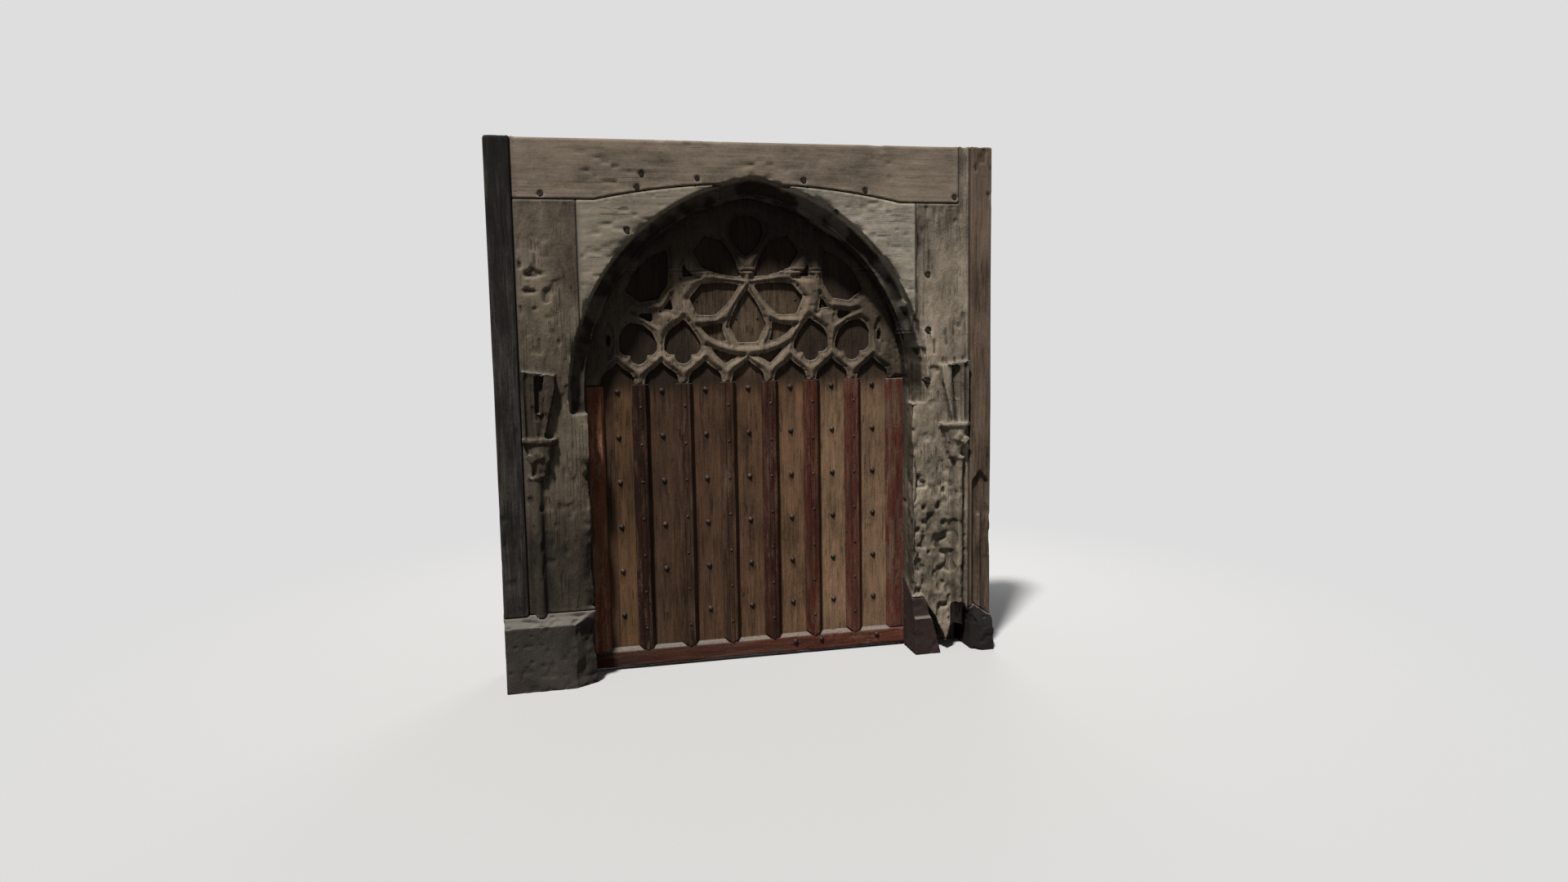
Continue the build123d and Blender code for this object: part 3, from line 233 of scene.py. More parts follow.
class Nodes:
    """Short way to build a material's node tree. A value is a number, a colour, or (node, output)."""

    def __init__(self, name):
        self.material = bpy.data.materials.new(name)
        self.material.use_nodes = True
        self.tree = self.material.node_tree
        self.tree.nodes.clear()
        self.out = self.add("ShaderNodeOutputMaterial")
        self.shader = self.add("ShaderNodeBsdfPrincipled")
        self.link(self.shader, "BSDF", self.out, "Surface")
        self.place = self.add("ShaderNodeTexCoord")

    def add(self, kind, **settings):
        node = self.tree.nodes.new(kind)
        for key, value in settings.items():
            setattr(node, key, value)
        return node

    def link(self, a, out, b, into):
        self.tree.links.new(a.outputs[out], b.inputs[into])

    def put(self, value, node, socket):
        if isinstance(value, tuple) and hasattr(value[0], "outputs"):
            self.tree.links.new(value[0].outputs[value[1]], node.inputs[socket])
        else:
            node.inputs[socket].default_value = value

    def stretched(self, scale):
        node = self.add("ShaderNodeMapping")
        self.link(self.place, "Object", node, "Vector")
        node.inputs["Scale"].default_value = scale
        return node

    def noise(self, scale, size, detail=3.0, rough=0.55, twist=0.0):
        """Noise with about size cells to the metre, stretched by scale."""
        mapping = self.stretched(scale)
        node = self.add("ShaderNodeTexNoise")
        self.link(mapping, "Vector", node, "Vector")
        node.inputs["Scale"].default_value = size
        node.inputs["Detail"].default_value = detail
        node.inputs["Roughness"].default_value = rough
        node.inputs["Distortion"].default_value = twist
        return (node, "Fac")

    def cells(self, scale, size):
        """Distance from the middle of the nearest of round cells."""
        mapping = self.stretched(scale)
        node = self.add("ShaderNodeTexVoronoi")
        self.link(mapping, "Vector", node, "Vector")
        node.inputs["Scale"].default_value = size
        return (node, "Distance")

    def axis(self, letter, source="Object"):
        """One axis of the place in the object, or of the world normal."""
        node = self.add("ShaderNodeSeparateXYZ")
        if source == "Object":
            self.link(self.place, "Object", node, "Vector")
        else:
            self.link(self.add("ShaderNodeNewGeometry"), "Normal", node, "Vector")
        return (node, letter)

    def math(self, operation, a, b=0.0, c=0.0):
        node = self.add("ShaderNodeMath", operation=operation)
        self.put(a, node, 0)
        self.put(b, node, 1)
        if operation in ("MULTIPLY_ADD", "WRAP"):
            self.put(c, node, 2)
        return (node, 0)

    def range(self, value, low, high, to_low=0.0, to_high=1.0):
        """Smooth step from to_low at low to to_high at high."""
        node = self.add("ShaderNodeMapRange", interpolation_type="SMOOTHSTEP")
        self.put(value, node, "Value")
        node.inputs["From Min"].default_value = low
        node.inputs["From Max"].default_value = high
        node.inputs["To Min"].default_value = to_low
        node.inputs["To Max"].default_value = to_high
        return (node, "Result")

    def colours(self, value, *stops):
        """Colour ramp with stops of (place, colour)."""
        node = self.add("ShaderNodeValToRGB")
        self.put(value, node, "Fac")
        elements = node.color_ramp.elements
        while len(elements) < len(stops):
            elements.new(0.5)
        for element, (place, colour) in zip(elements, stops):
            element.position = place
            element.color = (*colour, 1)
        return (node, "Color")

    def mix(self, share, a, b):
        node = self.add("ShaderNodeMix", data_type="RGBA")
        self.put(share, node, 0)
        for value, socket in ((a, 6), (b, 7)):
            if isinstance(value[0], (int, float)):
                node.inputs[socket].default_value = (*value[:3], 1)
            else:
                self.put(value, node, socket)
        return (node, 2)

    def attribute(self, name):
        node = self.add("ShaderNodeAttribute", attribute_name=name)
        return (node, "Fac")

    def bump(self, height, strength, distance):
        node = self.add("ShaderNodeBump")
        self.put(height, node, "Height")
        node.inputs["Strength"].default_value = strength
        node.inputs["Distance"].default_value = distance
        return (node, "Normal")

    def finish(self, colour, roughness, normal, specular):
        self.put(colour, self.shader, "Base Color")
        self.put(roughness, self.shader, "Roughness")
        self.put(normal, self.shader, "Normal")
        self.shader.inputs["Specular IOR Level"].default_value = specular
        return self.material


def along(axis, share):
    """Scale that stretches a pattern along one axis."""
    return tuple(share if i == "XYZ".index(axis) else 1.0 for i in range(3))


def times(colour, factor):
    """A lighter or darker colour."""
    return tuple(min(c * factor, 1) for c in colour)


def between(a, b, share):
    """A colour part of the way from a to b."""
    return tuple(x * (1 - share) + y * share for x, y in zip(a, b))


dust = (0.150, 0.138, 0.120)


def oak(name, tone, grain="Z", carved=False, hollow_dirt_and_shade=0.6, checks=0.6, pits=0.5, paint=None, cover=0.5,
        dusty=0.0, panel=False, contrast=1.0, grainy=1.0, haze=0.12, dim=None, bump=0.6, seed=0.0):
    """Old oak: fibres, streaks, drying cracks, worm holes and dirt.

    carved wood is darkened in the mesh's hollows, part grime and part painted shade, and by its
    darkening attribute, painted shade with dark cracks and joints; its raised edges are lightened, part
    wear and part painted highlight. A panel is one of the leaf's boards, whose front takes painted shade
    and shadow in and below the tracery. paint is worn off where noise is over cover, and dim paints
    shade, darkening the wood towards the low end of (axis, low, high, share). grainy is 1 for clear
    fibres and less for lumpy wood. seed changes the patterns' sizes a little, so that no two pieces look
    alike.
    """
    n = Nodes(name)
    dark = times(tone, 0.62 - 0.26 * contrast)
    light = times(between(tone, dust, haze), 1 + 0.65 * contrast)
    fibre = n.noise(along(grain, 0.035), 190 + seed, 2.0, 0.6)
    streak = n.noise(along(grain, 0.10), 34 + seed, 4.0, 0.62, 0.4)
    blotch = n.noise(along(grain, 0.5), 4.1 + seed * 0.1, 5.0, 0.62)
    speck = n.noise((1, 1, 1), 85 + seed, 4.0, 0.7)
    lump = n.noise(along(grain, 0.6), 21 + seed, 4.0, 0.65, 0.3)
    value = n.math("MULTIPLY_ADD", fibre, 0.30 * grainy, n.math("MULTIPLY", streak, 0.45 * grainy))
    value = n.math("MULTIPLY_ADD", blotch, 0.45 + 0.40 * (1 - grainy), value)
    value = n.math("MULTIPLY_ADD", lump, 0.35 * (1 - grainy), value)
    value = n.math("MULTIPLY_ADD", speck, 0.18, value)
    colour = n.colours(value, (0.54, dark), (0.69, tone), (0.86, light))
    if panel:
        # On the front, paler and dustier wood in the middle lights, darkened as painted shade of the
        # recess, a painted shadow from the tracery's foot up, darkest towards the arch, and dark runs
        # below the studs
        front = n.range(n.axis("Y"), board_face_y + 0.004, board_face_y + 0.010, 1.0, 0.0)
        inside = n.range(n.axis("Z"), tracery_foot - 0.03, tracery_foot + 0.10, 0.0, 0.75)
        inside = n.math("MULTIPLY", inside, front)
        recess_dust_and_shade = n.colours(value, (0.54, (0.020, 0.013, 0.008)), (0.86, (0.125, 0.092, 0.058)))
        colour = n.mix(inside, colour, recess_dust_and_shade)
        # Painted shadow of the arch and tracery on the boards, darkest away from the middle lights
        rise = n.math("SUBTRACT", n.axis("Z"), tracery_foot + 0.288)
        apart = n.math("MULTIPLY_ADD", n.axis("X"), n.axis("X"), n.math("MULTIPLY", rise, rise))
        painted_shadow = n.range(n.axis("Z"), tracery_foot - 0.08, tracery_foot + 0.02)
        painted_shadow = n.math("MULTIPLY", painted_shadow, n.range(apart, 0.03, 0.10, 0.10, 0.78))
        colour = n.mix(n.math("MULTIPLY", painted_shadow, front), colour, (0.009, 0.006, 0.004))
        across = n.math("ABSOLUTE", n.math("WRAP", n.axis("X"), panel_half, -panel_half))
        below = n.math("WRAP", n.math("SUBTRACT", stud_row_z, n.axis("Z")), stud_row_rise, 0.0)
        run = n.range(below, 0.0, 0.085, 0.75, 0.0)
        run = n.math("MULTIPLY", run, n.range(across, 0.004, 0.020, 1.0, 0.0))
        run = n.math("MULTIPLY", n.math("MULTIPLY", run, front), n.range(streak, 0.35, 0.6))
        under_arch = n.range(n.axis("Z"), tracery_foot - 0.05, tracery_foot, 1.0, 0.0)
        colour = n.mix(n.math("MULTIPLY", run, under_arch), colour, times(dark, 0.4))
    if paint:
        chip = n.noise(along(grain, 0.16), 26 + seed, 6.0, 0.68, 0.5)
        spots = n.noise((1, 1, 0.6), 130 + seed, 3.0, 0.7)
        wear = n.math("MULTIPLY_ADD", spots, 0.30, n.math("MULTIPLY", chip, 0.85))
        left = n.range(wear, cover - 0.05, cover + 0.05, 1.0, 0.0)
        shade = n.math("MULTIPLY_ADD", streak, 0.6, n.math("MULTIPLY", speck, 0.4))
        coat = n.colours(shade, (0.34, times(paint, 0.4)), (0.52, paint), (0.70, times(paint, 1.5)))
        colour = n.mix(left, colour, coat)
    crack = n.noise(along(grain, 0.022), 46 + seed, 2.0, 0.5, 0.3)
    line = n.math("ABSOLUTE", n.math("SUBTRACT", crack, 0.5))
    where = n.range(n.noise((1, 1, 1), 6.5 + seed, 3.0), 0.46, 0.62)
    line = n.math("MULTIPLY", n.range(line, 0.004, 0.018, 1.0, 0.0), where)
    hole = n.range(n.cells((1, 1, 0.7), 95 + seed), 0.10, 0.20, 1.0, 0.0)
    where = n.range(n.noise((1, 1, 1), 9.0 + seed, 2.0), 0.50, 0.66)
    hole = n.math("MULTIPLY", hole, where)
    mark = n.math("MAXIMUM", n.math("MULTIPLY", line, checks), n.math("MULTIPLY", hole, pits))
    colour = n.mix(mark, colour, times(dark, 0.25))
    if carved:
        # The darkening attribute is painted shade of mouldings, reveals and recesses, with dark cracks
        # and joints
        dirt_and_shade = n.attribute("dirt_and_shade")
        hollow = n.attribute("hollow")
        black = n.colours(value, (0.5, (0.006, 0.0045, 0.0035)), (0.9, (0.030, 0.021, 0.014)))
        colour = n.mix(dirt_and_shade, colour, black)
        broken = n.range(blotch, 0.35, 0.65, 0.35, 1.0)
        # Darker in the hollows: part grime, part painted shade
        low = n.math("MULTIPLY", n.range(hollow, 0.54, 0.90, 0.0, hollow_dirt_and_shade), broken)
        colour = n.mix(low, colour, times(dark, 0.4))
        # Lighter on raised edges, less where darkened: part wear, part painted highlight
        rubbed_and_highlit = n.math("MULTIPLY", n.range(hollow, 0.10, 0.46, 0.22, 0.0), broken)
        rubbed_and_highlit = n.math("MULTIPLY", rubbed_and_highlit, n.range(dirt_and_shade, 0.0, 1.0, 1.0, 0.35))
        colour = n.mix(rubbed_and_highlit, colour, light)
    # Painted shade: darker towards one end, for the light's slow fall-off over the door
    if dim:
        letter, low, high, share = dim
        colour = n.mix(n.range(n.axis(letter), low, high, share, 0.0), colour, times(dark, 0.3))
    if dusty:
        up = n.range(n.axis("Z", "Normal"), 0.45, 0.9, 0.0, dusty)
        colour = n.mix(n.math("MULTIPLY", up, n.range(speck, 0.3, 0.6, 0.55, 1.0)), colour, dust)
    height = n.math("MULTIPLY_ADD", fibre, 0.5 * grainy, n.math("MULTIPLY", streak, 0.8 * grainy))
    height = n.math("MULTIPLY_ADD", speck, 0.35, height)
    height = n.math("MULTIPLY_ADD", lump, 2.2 * (1 - grainy), height)
    if panel:
        height = n.math("MULTIPLY_ADD", n.noise((1, 1, 0.3), 30 + seed, 3.0, 0.6, 0.6), 1.6, height)
    height = n.math("SUBTRACT", height, n.math("MULTIPLY", mark, 1.6))
    if paint:
        height = n.math("MULTIPLY_ADD", left, 0.25, height)
    return n.finish(colour, n.range(value, 0.5, 0.9, 0.75, 0.95), n.bump(height, bump, 0.0035), 0.15)


def stone(name, tone):
    """Rough dressed stone with tooling, damp stains and chipped grains."""
    n = Nodes(name)
    cloud = n.noise((1, 1, 1), 5.0, 6.0, 0.6)
    grain = n.noise((1, 1, 1), 160.0, 4.0, 0.7)
    tool = n.noise((1, 1, 0.25), 60.0, 3.0, 0.6, 0.8)
    value = n.math("MULTIPLY_ADD", grain, 0.35, n.math("MULTIPLY", cloud, 0.8))
    colour = n.colours(value, (0.42, times(tone, 0.5)), (0.57, tone), (0.78, times(tone, 1.7)))
    brown = n.range(n.noise((1, 1, 1), 3.0, 3.0), 0.5, 0.7, 0.0, 0.5)
    colour = n.mix(brown, colour, (tone[0] * 1.25, tone[1], tone[2] * 0.75))
    hollow = n.attribute("hollow")
    # Darker in hollows, part grime and part painted shade, and lighter on edges, part wear and part
    # painted highlight
    colour = n.mix(n.range(hollow, 0.54, 0.9, 0.0, 0.6), colour, times(tone, 0.35))
    colour = n.mix(n.range(hollow, 0.1, 0.46, 0.3, 0.0), colour, times(tone, 1.8))
    up = n.range(n.axis("Z", "Normal"), 0.45, 0.9, 0.0, 0.65)
    colour = n.mix(up, colour, dust)
    height = n.math("MULTIPLY_ADD", tool, 0.7, n.math("MULTIPLY", grain, 0.5))
    height = n.math("MULTIPLY_ADD", cloud, 0.8, height)
    return n.finish(colour, n.range(grain, 0.3, 0.7, 0.75, 0.95), n.bump(height, 0.8, 0.006), 0.25)


def iron(name, dark, rust):
    """Forged iron: hammer marks, scale and rust in the pits."""
    n = Nodes(name)
    blow = n.cells((1, 1, 1), 70.0)
    scale = n.noise((1, 1, 1), 220.0, 5.0, 0.7)
    patch = n.noise((1, 1, 1), 26.0, 4.0, 0.6)
    share = n.range(n.math("MULTIPLY_ADD", scale, 0.4, n.math("MULTIPLY", patch, 0.6)), 0.46, 0.62)
    colour = n.mix(share, dark, rust)
    height = n.math("MULTIPLY_ADD", scale, 0.4, n.math("MULTIPLY", blow, 0.8))
    n.put(n.range(share, 0.0, 1.0, 0.7, 0.1), n.shader, "Metallic")
    return n.finish(colour, n.range(scale, 0.3, 0.7, 0.5, 0.8), n.bump(height, 0.5, 0.002), 0.4)


# The photo's light falls from the upper left, so the tones also carry its slow change over the door
left_oak = oak("left_oak", (0.094, 0.074, 0.052), carved=True, dusty=0.6, contrast=1.1, grainy=0.2,
               pits=0.8, dim=("Z", 0.4, 1.5, 0.64), bump=0.9, seed=0.5)
left_spandrel_oak = oak("left_spandrel_oak", (0.190, 0.162, 0.122), "X", True, pits=0.35, contrast=0.6,
                        grainy=0.3, bump=0.4, seed=2.0)
right_spandrel_oak = oak("right_spandrel_oak", (0.290, 0.255, 0.202), "X", True, pits=0.35, contrast=0.6,
                         grainy=0.3, bump=0.4, seed=2.6)
right_oak = oak("right_oak", (0.172, 0.141, 0.104), carved=True, hollow_dirt_and_shade=0.8, dusty=0.6, contrast=1.3,
                grainy=0.2, pits=0.8, bump=1.0, seed=1.5)
lintel_oak = oak("lintel_oak", (0.163, 0.129, 0.096), "X", True, checks=0.2, contrast=0.75, grainy=0.5,
                 bump=0.45, seed=3.0)
left_post_oak = oak("left_post_oak", (0.014, 0.012, 0.010), carved=True, bump=0.4, seed=4.5)
right_post_oak = oak("right_post_oak", (0.092, 0.064, 0.043), carved=True, dusty=0.6, bump=0.5, seed=5.5)
tracery_oak = oak("tracery_oak", (0.126, 0.096, 0.067), carved=True, hollow_dirt_and_shade=0.7, dusty=0.7, grainy=0.6,
                  haze=0.05, seed=5.0)
ledge_oak = oak("ledge_oak", (0.100, 0.066, 0.040), "X", seed=2.0)
peg_oak = oak("peg_oak", (0.022, 0.017, 0.012), "Y", seed=2.5)
board_tones = {  # from left to right
    "board_1": (0.050, 0.026, 0.014), "board_2": (0.078, 0.042, 0.020), "board_3": (0.050, 0.027, 0.015),
    "board_4": (0.068, 0.036, 0.020), "board_5": (0.082, 0.044, 0.024), "board_6": (0.112, 0.062, 0.033),
    "board_7": (0.146, 0.090, 0.051), "board_8": (0.138, 0.084, 0.050),
}
bare = (0.046, 0.026, 0.014)
rib_looks = {  # paint, and how much of it is left
    "rib_1": ((0.018, 0.006, 0.003), 0.60), "rib_2": ((0.018, 0.008, 0.005), 0.50),
    "rib_3": ((0.028, 0.012, 0.006), 0.49), "rib_4": ((0.030, 0.008, 0.005), 0.56),
    "rib_5": ((0.050, 0.013, 0.007), 0.56), "rib_6": ((0.070, 0.021, 0.013), 0.56),
}
plain = {"frame_pegs": peg_oak}
for number, (node, tone) in enumerate(board_tones.items()):
    plain[node] = oak(node + "_oak", tone, panel=True, haze=0.0, seed=1.0 + 1.3 * number)
for number, (node, (paint, cover)) in enumerate(rib_looks.items()):
    plain[node] = oak(node + "_red", between(bare, times(paint, 1.6), 0.4), paint=paint, cover=cover,
                      dusty=0.5, seed=4.0 + 1.7 * number)
# Painted light: the left stile is made much brighter than the right one, lifting the left jamb's shadow
# on it
left_stile_red = oak("left_stile_red", (0.161, 0.078, 0.044), carved=True, paint=(0.138, 0.048, 0.025),
                     cover=0.58, dusty=0.4, seed=8.0)
right_stile_red = oak("right_stile_red", (0.076, 0.041, 0.026), carved=True, paint=(0.074, 0.021, 0.013),
                      cover=0.58, dusty=0.4, seed=8.7)
rail_red = oak("rail_red", (0.092, 0.046, 0.029), "X", True, paint=(0.090, 0.028, 0.017), cover=0.60,
               dusty=0.9, dim=("X", -0.7, 0.7, 0.58), seed=9.0)
left_stone = stone("left_stone", (0.030, 0.025, 0.020))
inner_stone = stone("inner_stone", (0.025, 0.015, 0.0125))
# Painted shade: the outer stone is made nearly black, as if in shadow
outer_stone = stone("outer_stone", (0.009, 0.0078, 0.0072))
wrought_iron = iron("wrought_iron", (0.022, 0.019, 0.017), (0.050, 0.026, 0.014))

# Pieces that keep their CAD mesh; the worn pieces below bring their own
for node, piece in nodes.items():
    material = plain.get(node, ledge_oak if node.startswith("ledge") else wrought_iron)
    piece.data.materials.clear()
    piece.data.materials.append(material)
    if node.startswith(("rib_", "ledge_")) and not node.endswith("nails"):
        soften = piece.modifiers.new("soften", "BEVEL")
        soften.width = 0.0015
        soften.segments = 2
        soften.limit_method = "ANGLE"
        soften.angle_limit = math.radians(40)


# Weathered timber and stone


def timber(p, seed, grain, pitted=0.35, deep=0.006):
    """Wear for frame timber: gentle hollows, raised grain and rotted pits."""
    slow, fine, round_hole = np.full(3, 7.0), np.full(3, 75.0), np.full(3, 48.0)
    lengthwise = "XYZ".index(grain)
    slow[lengthwise], fine[lengthwise], round_hole[lengthwise] = 1.6, 5.0, 24.0
    wave = layered(p * slow, seed) * 0.004
    ridge = value_noise(p * fine, seed + 9) * 0.0016
    pit = value_noise(p * round_hole, seed + 17)
    zone = ramp(layered(p * 3.2, seed + 23), 0.58 - 0.25 * pitted, 0.72 - 0.2 * pitted)
    return wave + ridge + ramp(pit, 0.58, 0.85) * zone * deep


def rotted(p, seed, deep):
    """Lumpy decay with deeper holes."""
    lumps = ramp(layered(p * (15, 15, 8), seed), 0.35, 0.75)
    crumbs = layered(p * (55, 55, 34), seed + 7, 2)
    holes = ramp(value_noise(p * (38, 38, 26), seed + 3), 0.62, 0.8)
    return (0.55 * lumps + 0.35 * crumbs + 0.55 * holes) * deep


def near_line(p, points, width):
    """1 on a line of (x, z) points and 0 beyond its width, on the frame's face only."""
    best = np.full(len(p), 9.0)
    flat = p[:, [0, 2]]
    for a, b in zip(np.array(points[:-1]), np.array(points[1:])):
        share = np.clip(((flat - a) @ (b - a)) / ((b - a) @ (b - a)), 0, 1)
        best = np.minimum(best, np.linalg.norm(flat - a - share[:, None] * (b - a), axis=1))
    best = best + 0.006 * (layered(p * 30, 77) - 0.5)
    return ramp(best, width, 0) * (p[:, 1] < face_y + 0.03)


def broken_arris(p, x, y, seed, low, high, deep):
    """Breaks along a vertical arris between two heights."""
    distance = np.hypot(p[:, 0] - x, p[:, 1] - y)
    chipped = ramp(layered(p * (4, 4, 9), seed), 0.42, 0.68)
    run = ramp(p[:, 2], low - 0.03, low + 0.03) * ramp(p[:, 2], high + 0.06, high - 0.06)
    return np.exp(-((distance / 0.032) ** 2)) * chipped * run * deep


def arch_radius(p):
    """Distance from the centre of the arc on the same side, or from the upright below the springing."""
    rise = np.maximum(p[:, 2] - spring_z, 0)
    return np.hypot(np.abs(p[:, 0]) + arch_centre, rise)


def chipped_arch(p, seed, deep):
    """Breaks along the arch's outer arris."""
    distance = np.hypot(arch_radius(p) - outer_radius, p[:, 1] - face_y)
    above = ramp(p[:, 2], spring_z - 0.08, spring_z)
    return np.exp(-((distance / 0.02) ** 2)) * ramp(layered(p * 9, seed), 0.4, 0.7) * above * deep


def arch_painted_shade(p, out):
    """Painted shade in the arch's moulding and its reveal, uneven with noise."""
    inside = ramp(arch_radius(p), outer_radius - 0.002, outer_radius - 0.014)
    inside *= ramp(p[:, 2], spring_z - 0.09, spring_z - 0.05)
    inside *= (p[:, 1] > face_y + 0.003) * (p[:, 1] < leaf_face_y + 0.004)
    return inside * (0.72 + 0.35 * ramp(layered(p * 11, 51), 0.35, 0.6))


cracks = {  # lines of (x, z) points on the frame's face
    "right_jamb": [[(0.800, 1.62), (0.806, 1.78), (0.797, 1.90), (0.808, 2.02), (0.800, 2.16)]],
    "right_spandrel": [[(0.400, 2.170), (0.455, 2.110), (0.510, 2.060), (0.575, 1.985), (0.630, 1.905)]],
}


def crack_share(p, node):
    """1 on the cracks of a piece and 0 beside them."""
    share = np.zeros(len(p))
    for points in cracks.get(node, []):
        share = np.maximum(share, near_line(p, points, 0.007))
    return share


flute_depth = 0.012
crack_depth = 0.012


def left_jamb_wear(p, out):
    depth = timber(p, 11, "Z", 0.45, 0.007)
    depth += broken_arris(p, -opening_half, face_y, 41, low=0.35, high=1.22, deep=0.034)
    eaten_x, eaten_z = -0.99, 1.84
    zone = np.exp(-(((p[:, 0] - eaten_x) / 0.09) ** 2) - ((p[:, 2] - eaten_z) / 0.17) ** 2)
    holes = ramp(value_noise(p * (34, 34, 26), 61), 0.52, 0.8) * zone * (p[:, 1] < 0) * 0.016
    return depth + holes + chipped_arch(p, 71, 0.01) + flute_depth * flutes(p)


def right_jamb_wear(p, out):
    rot = ramp(p[:, 2], 1.02, 0.82) * ramp(p[:, 2], 0.10, 0.22) * (p[:, 1] < -0.02)
    rot *= 1 - 0.75 * np.exp(-(((p[:, 0] - shaft_x) / 0.035) ** 2))
    depth = timber(p, 12, "Z", 0.4, 0.007) + rot * rotted(p, 43, 0.027)
    depth += broken_arris(p, opening_half, face_y, 45, low=0.30, high=1.30, deep=0.024)
    depth += chipped_arch(p, 72, 0.014) + crack_depth * crack_share(p, "right_jamb")
    return depth + flute_depth * flutes(p)


def flutes(p):
    """1 in the dark upright hollows of the broken stubs above the capitals."""
    across = np.abs(p[:, 0]) - shaft_x
    stub = ramp(p[:, 2], capital_top_z - 0.005, capital_top_z + 0.020)
    stub *= ramp(p[:, 2], stub_top_z + 0.001, stub_top_z - 0.019) * (p[:, 1] < face_y - 0.012)
    lean = (p[:, 2] - capital_top_z) * 0.04
    wide = np.exp(-(((across + 0.029 + lean) / 0.014) ** 2))
    narrow = np.exp(-(((across - 0.025) / 0.007) ** 2))
    return stub * np.maximum(wide, 0.8 * narrow)


def shaft_sides(p):
    """1 in the two grooves beside each engaged shaft."""
    beside = np.abs(np.abs(p[:, 0]) - shaft_x) - shaft_radius - 0.004
    run = ramp(p[:, 2], shaft_foot_z - 0.017, shaft_foot_z + 0.033)
    run *= ramp(p[:, 2], shaft_top_z + 0.018, shaft_top_z - 0.022) * (p[:, 1] < face_y + 0.02)
    return np.exp(-((beside / 0.007) ** 2)) * run


def jamb_cracks_and_shade(node):
    """Painted shade in the moulding, the reveal, the flutes and the grooves beside the shaft, darker
    over the left jamb's carving, and dark cracks.
    """
    def dirt_and_shade(p, out):
        reveal = ramp(np.abs(out[:, 0]), 0.6, 0.9) * (np.abs(p[:, 0]) < opening_half + 0.02)
        dark = np.maximum(arch_painted_shade(p, out), 0.75 * reveal)
        if node == "left_jamb":
            carved = (p[:, 0] < -carving_x) * (p[:, 2] < stub_top_z + 0.011) * (p[:, 1] < face_y - 0.002)
            dark = np.maximum(dark, carved * (0.3 + 0.35 * ramp(p[:, 2], 0.80, 1.05)))
        dark = np.maximum(dark, np.maximum(0.8 * flutes(p), 0.55 * shaft_sides(p)))
        return np.maximum(dark, crack_share(p, node))
    return dirt_and_shade


def spandrel_wear(seed, node):
    """Timber wear with a broken arris along the arch, and cracks."""
    def depth(p, out):
        breaks = chipped_arch(p, seed + 60, 0.014) + crack_depth * crack_share(p, node)
        return timber(p, seed, "X", 0.2, 0.004) + breaks
    return depth


def spandrel_cracks_and_shade(node):
    # Painted shade in the arch's moulding, and dark cracks
    return lambda p, out: np.maximum(arch_painted_shade(p, out), crack_share(p, node))


def stone_wear(seed, broken=0.0):
    """Uneven dressing, and breaks of a given depth beside the opening."""
    def depth(p, out):
        wave = layered(p * 9, seed) * 0.006 + ramp(value_noise(p * 42, seed + 5), 0.6, 0.9) * 0.004
        beside = ramp(np.abs(p[:, 0]), opening_half + 0.15, opening_half + 0.02) * (p[:, 1] < -0.03)
        return wave + broken * beside * ramp(layered(p * (8, 8, 12), seed + 9), 0.35, 0.75)
    return depth


def carving_wear(seed):
    """Shallow hollows and small holes, for the tracery."""
    def depth(p, out):
        return layered(p * 14, seed) * 0.0035 + ramp(value_noise(p * 60, seed + 5), 0.65, 0.9) * 0.003
    return depth


def rounded_bars(node):
    """Lets the tracery's bars fall back from a rounded ridge towards the edges of the lights."""
    fall, reach = 0.014, 0.024
    mesh = nodes[node].data
    points = [v.co.copy() for v in mesh.vertices]
    splays = [tuple(f.vertices) for f in mesh.polygons if abs(f.normal.y) < 0.95]
    tree = BVHTree.FromPolygons(points, splays)

    def shape(co):
        co = co.copy()
        front = np.flatnonzero(co[:, 1] < leaf_face_y + fall)
        near = 1 - gaps_to(tree, co[front], reach) / reach
        co[front, 1] = np.maximum(co[front, 1], leaf_face_y + fall * near**1.6)
        return co
    return shape


def head_painted_shade(p, out):
    """Painted shade: the arch's shadow over the top of the head and its rim along the arch, and shade
    deep in the sides of its lights.
    """
    joint_z = most("tracery_lower", "Z")
    top = ramp(p[:, 2], joint_z - 0.042, joint_z + 0.078) * 0.85
    sides = ramp(p[:, 1], leaf_face_y + 0.012, leaf_face_y + 0.026) * 0.8
    rim = ramp(arch_radius(p), 0.58, 0.84) * 0.65
    return np.maximum(np.maximum(top, rim), sides)


timber_voxel, fine_voxel, plain_voxel = ((0.0065, 0.005, 0.008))
leaf_timber_voxel = fine_voxel * 1.2
posts, spandrels = ("left_post", "right_post"), ("left_spandrel", "right_spandrel")
stones = ("left_plinth", "right_inner_plinth", "right_outer_plinth")
worn("left_jamb", "frame", left_oak, timber_voxel, left_jamb_wear,
     ("left_post", "left_spandrel", "lintel", "left_plinth"), jamb_cracks_and_shade("left_jamb"))
worn("right_jamb", "frame", right_oak, timber_voxel, right_jamb_wear,
     ("right_post", "right_spandrel", "lintel") + stones, jamb_cracks_and_shade("right_jamb"))
worn("left_post", "frame", left_post_oak, plain_voxel, lambda p, out: timber(p, 13, "Z", 0.2),
     ("left_jamb", "lintel", "left_plinth"))
worn("right_post", "frame", right_post_oak, plain_voxel, lambda p, out: timber(p, 14, "Z", 0.3),
     ("right_jamb", "lintel", "right_outer_plinth"))
worn("lintel", "frame", lintel_oak, plain_voxel, lambda p, out: timber(p, 15, "X", 0.2),
     ("left_jamb", "right_jamb") + posts + spandrels, arch_painted_shade)
worn("left_spandrel", "frame", left_spandrel_oak, timber_voxel, spandrel_wear(16, "left_spandrel"),
     ("left_jamb", "lintel"), spandrel_cracks_and_shade("left_spandrel"))
worn("right_spandrel", "frame", right_spandrel_oak, timber_voxel, spandrel_wear(17, "right_spandrel"),
     ("right_jamb", "lintel"), spandrel_cracks_and_shade("right_spandrel"))
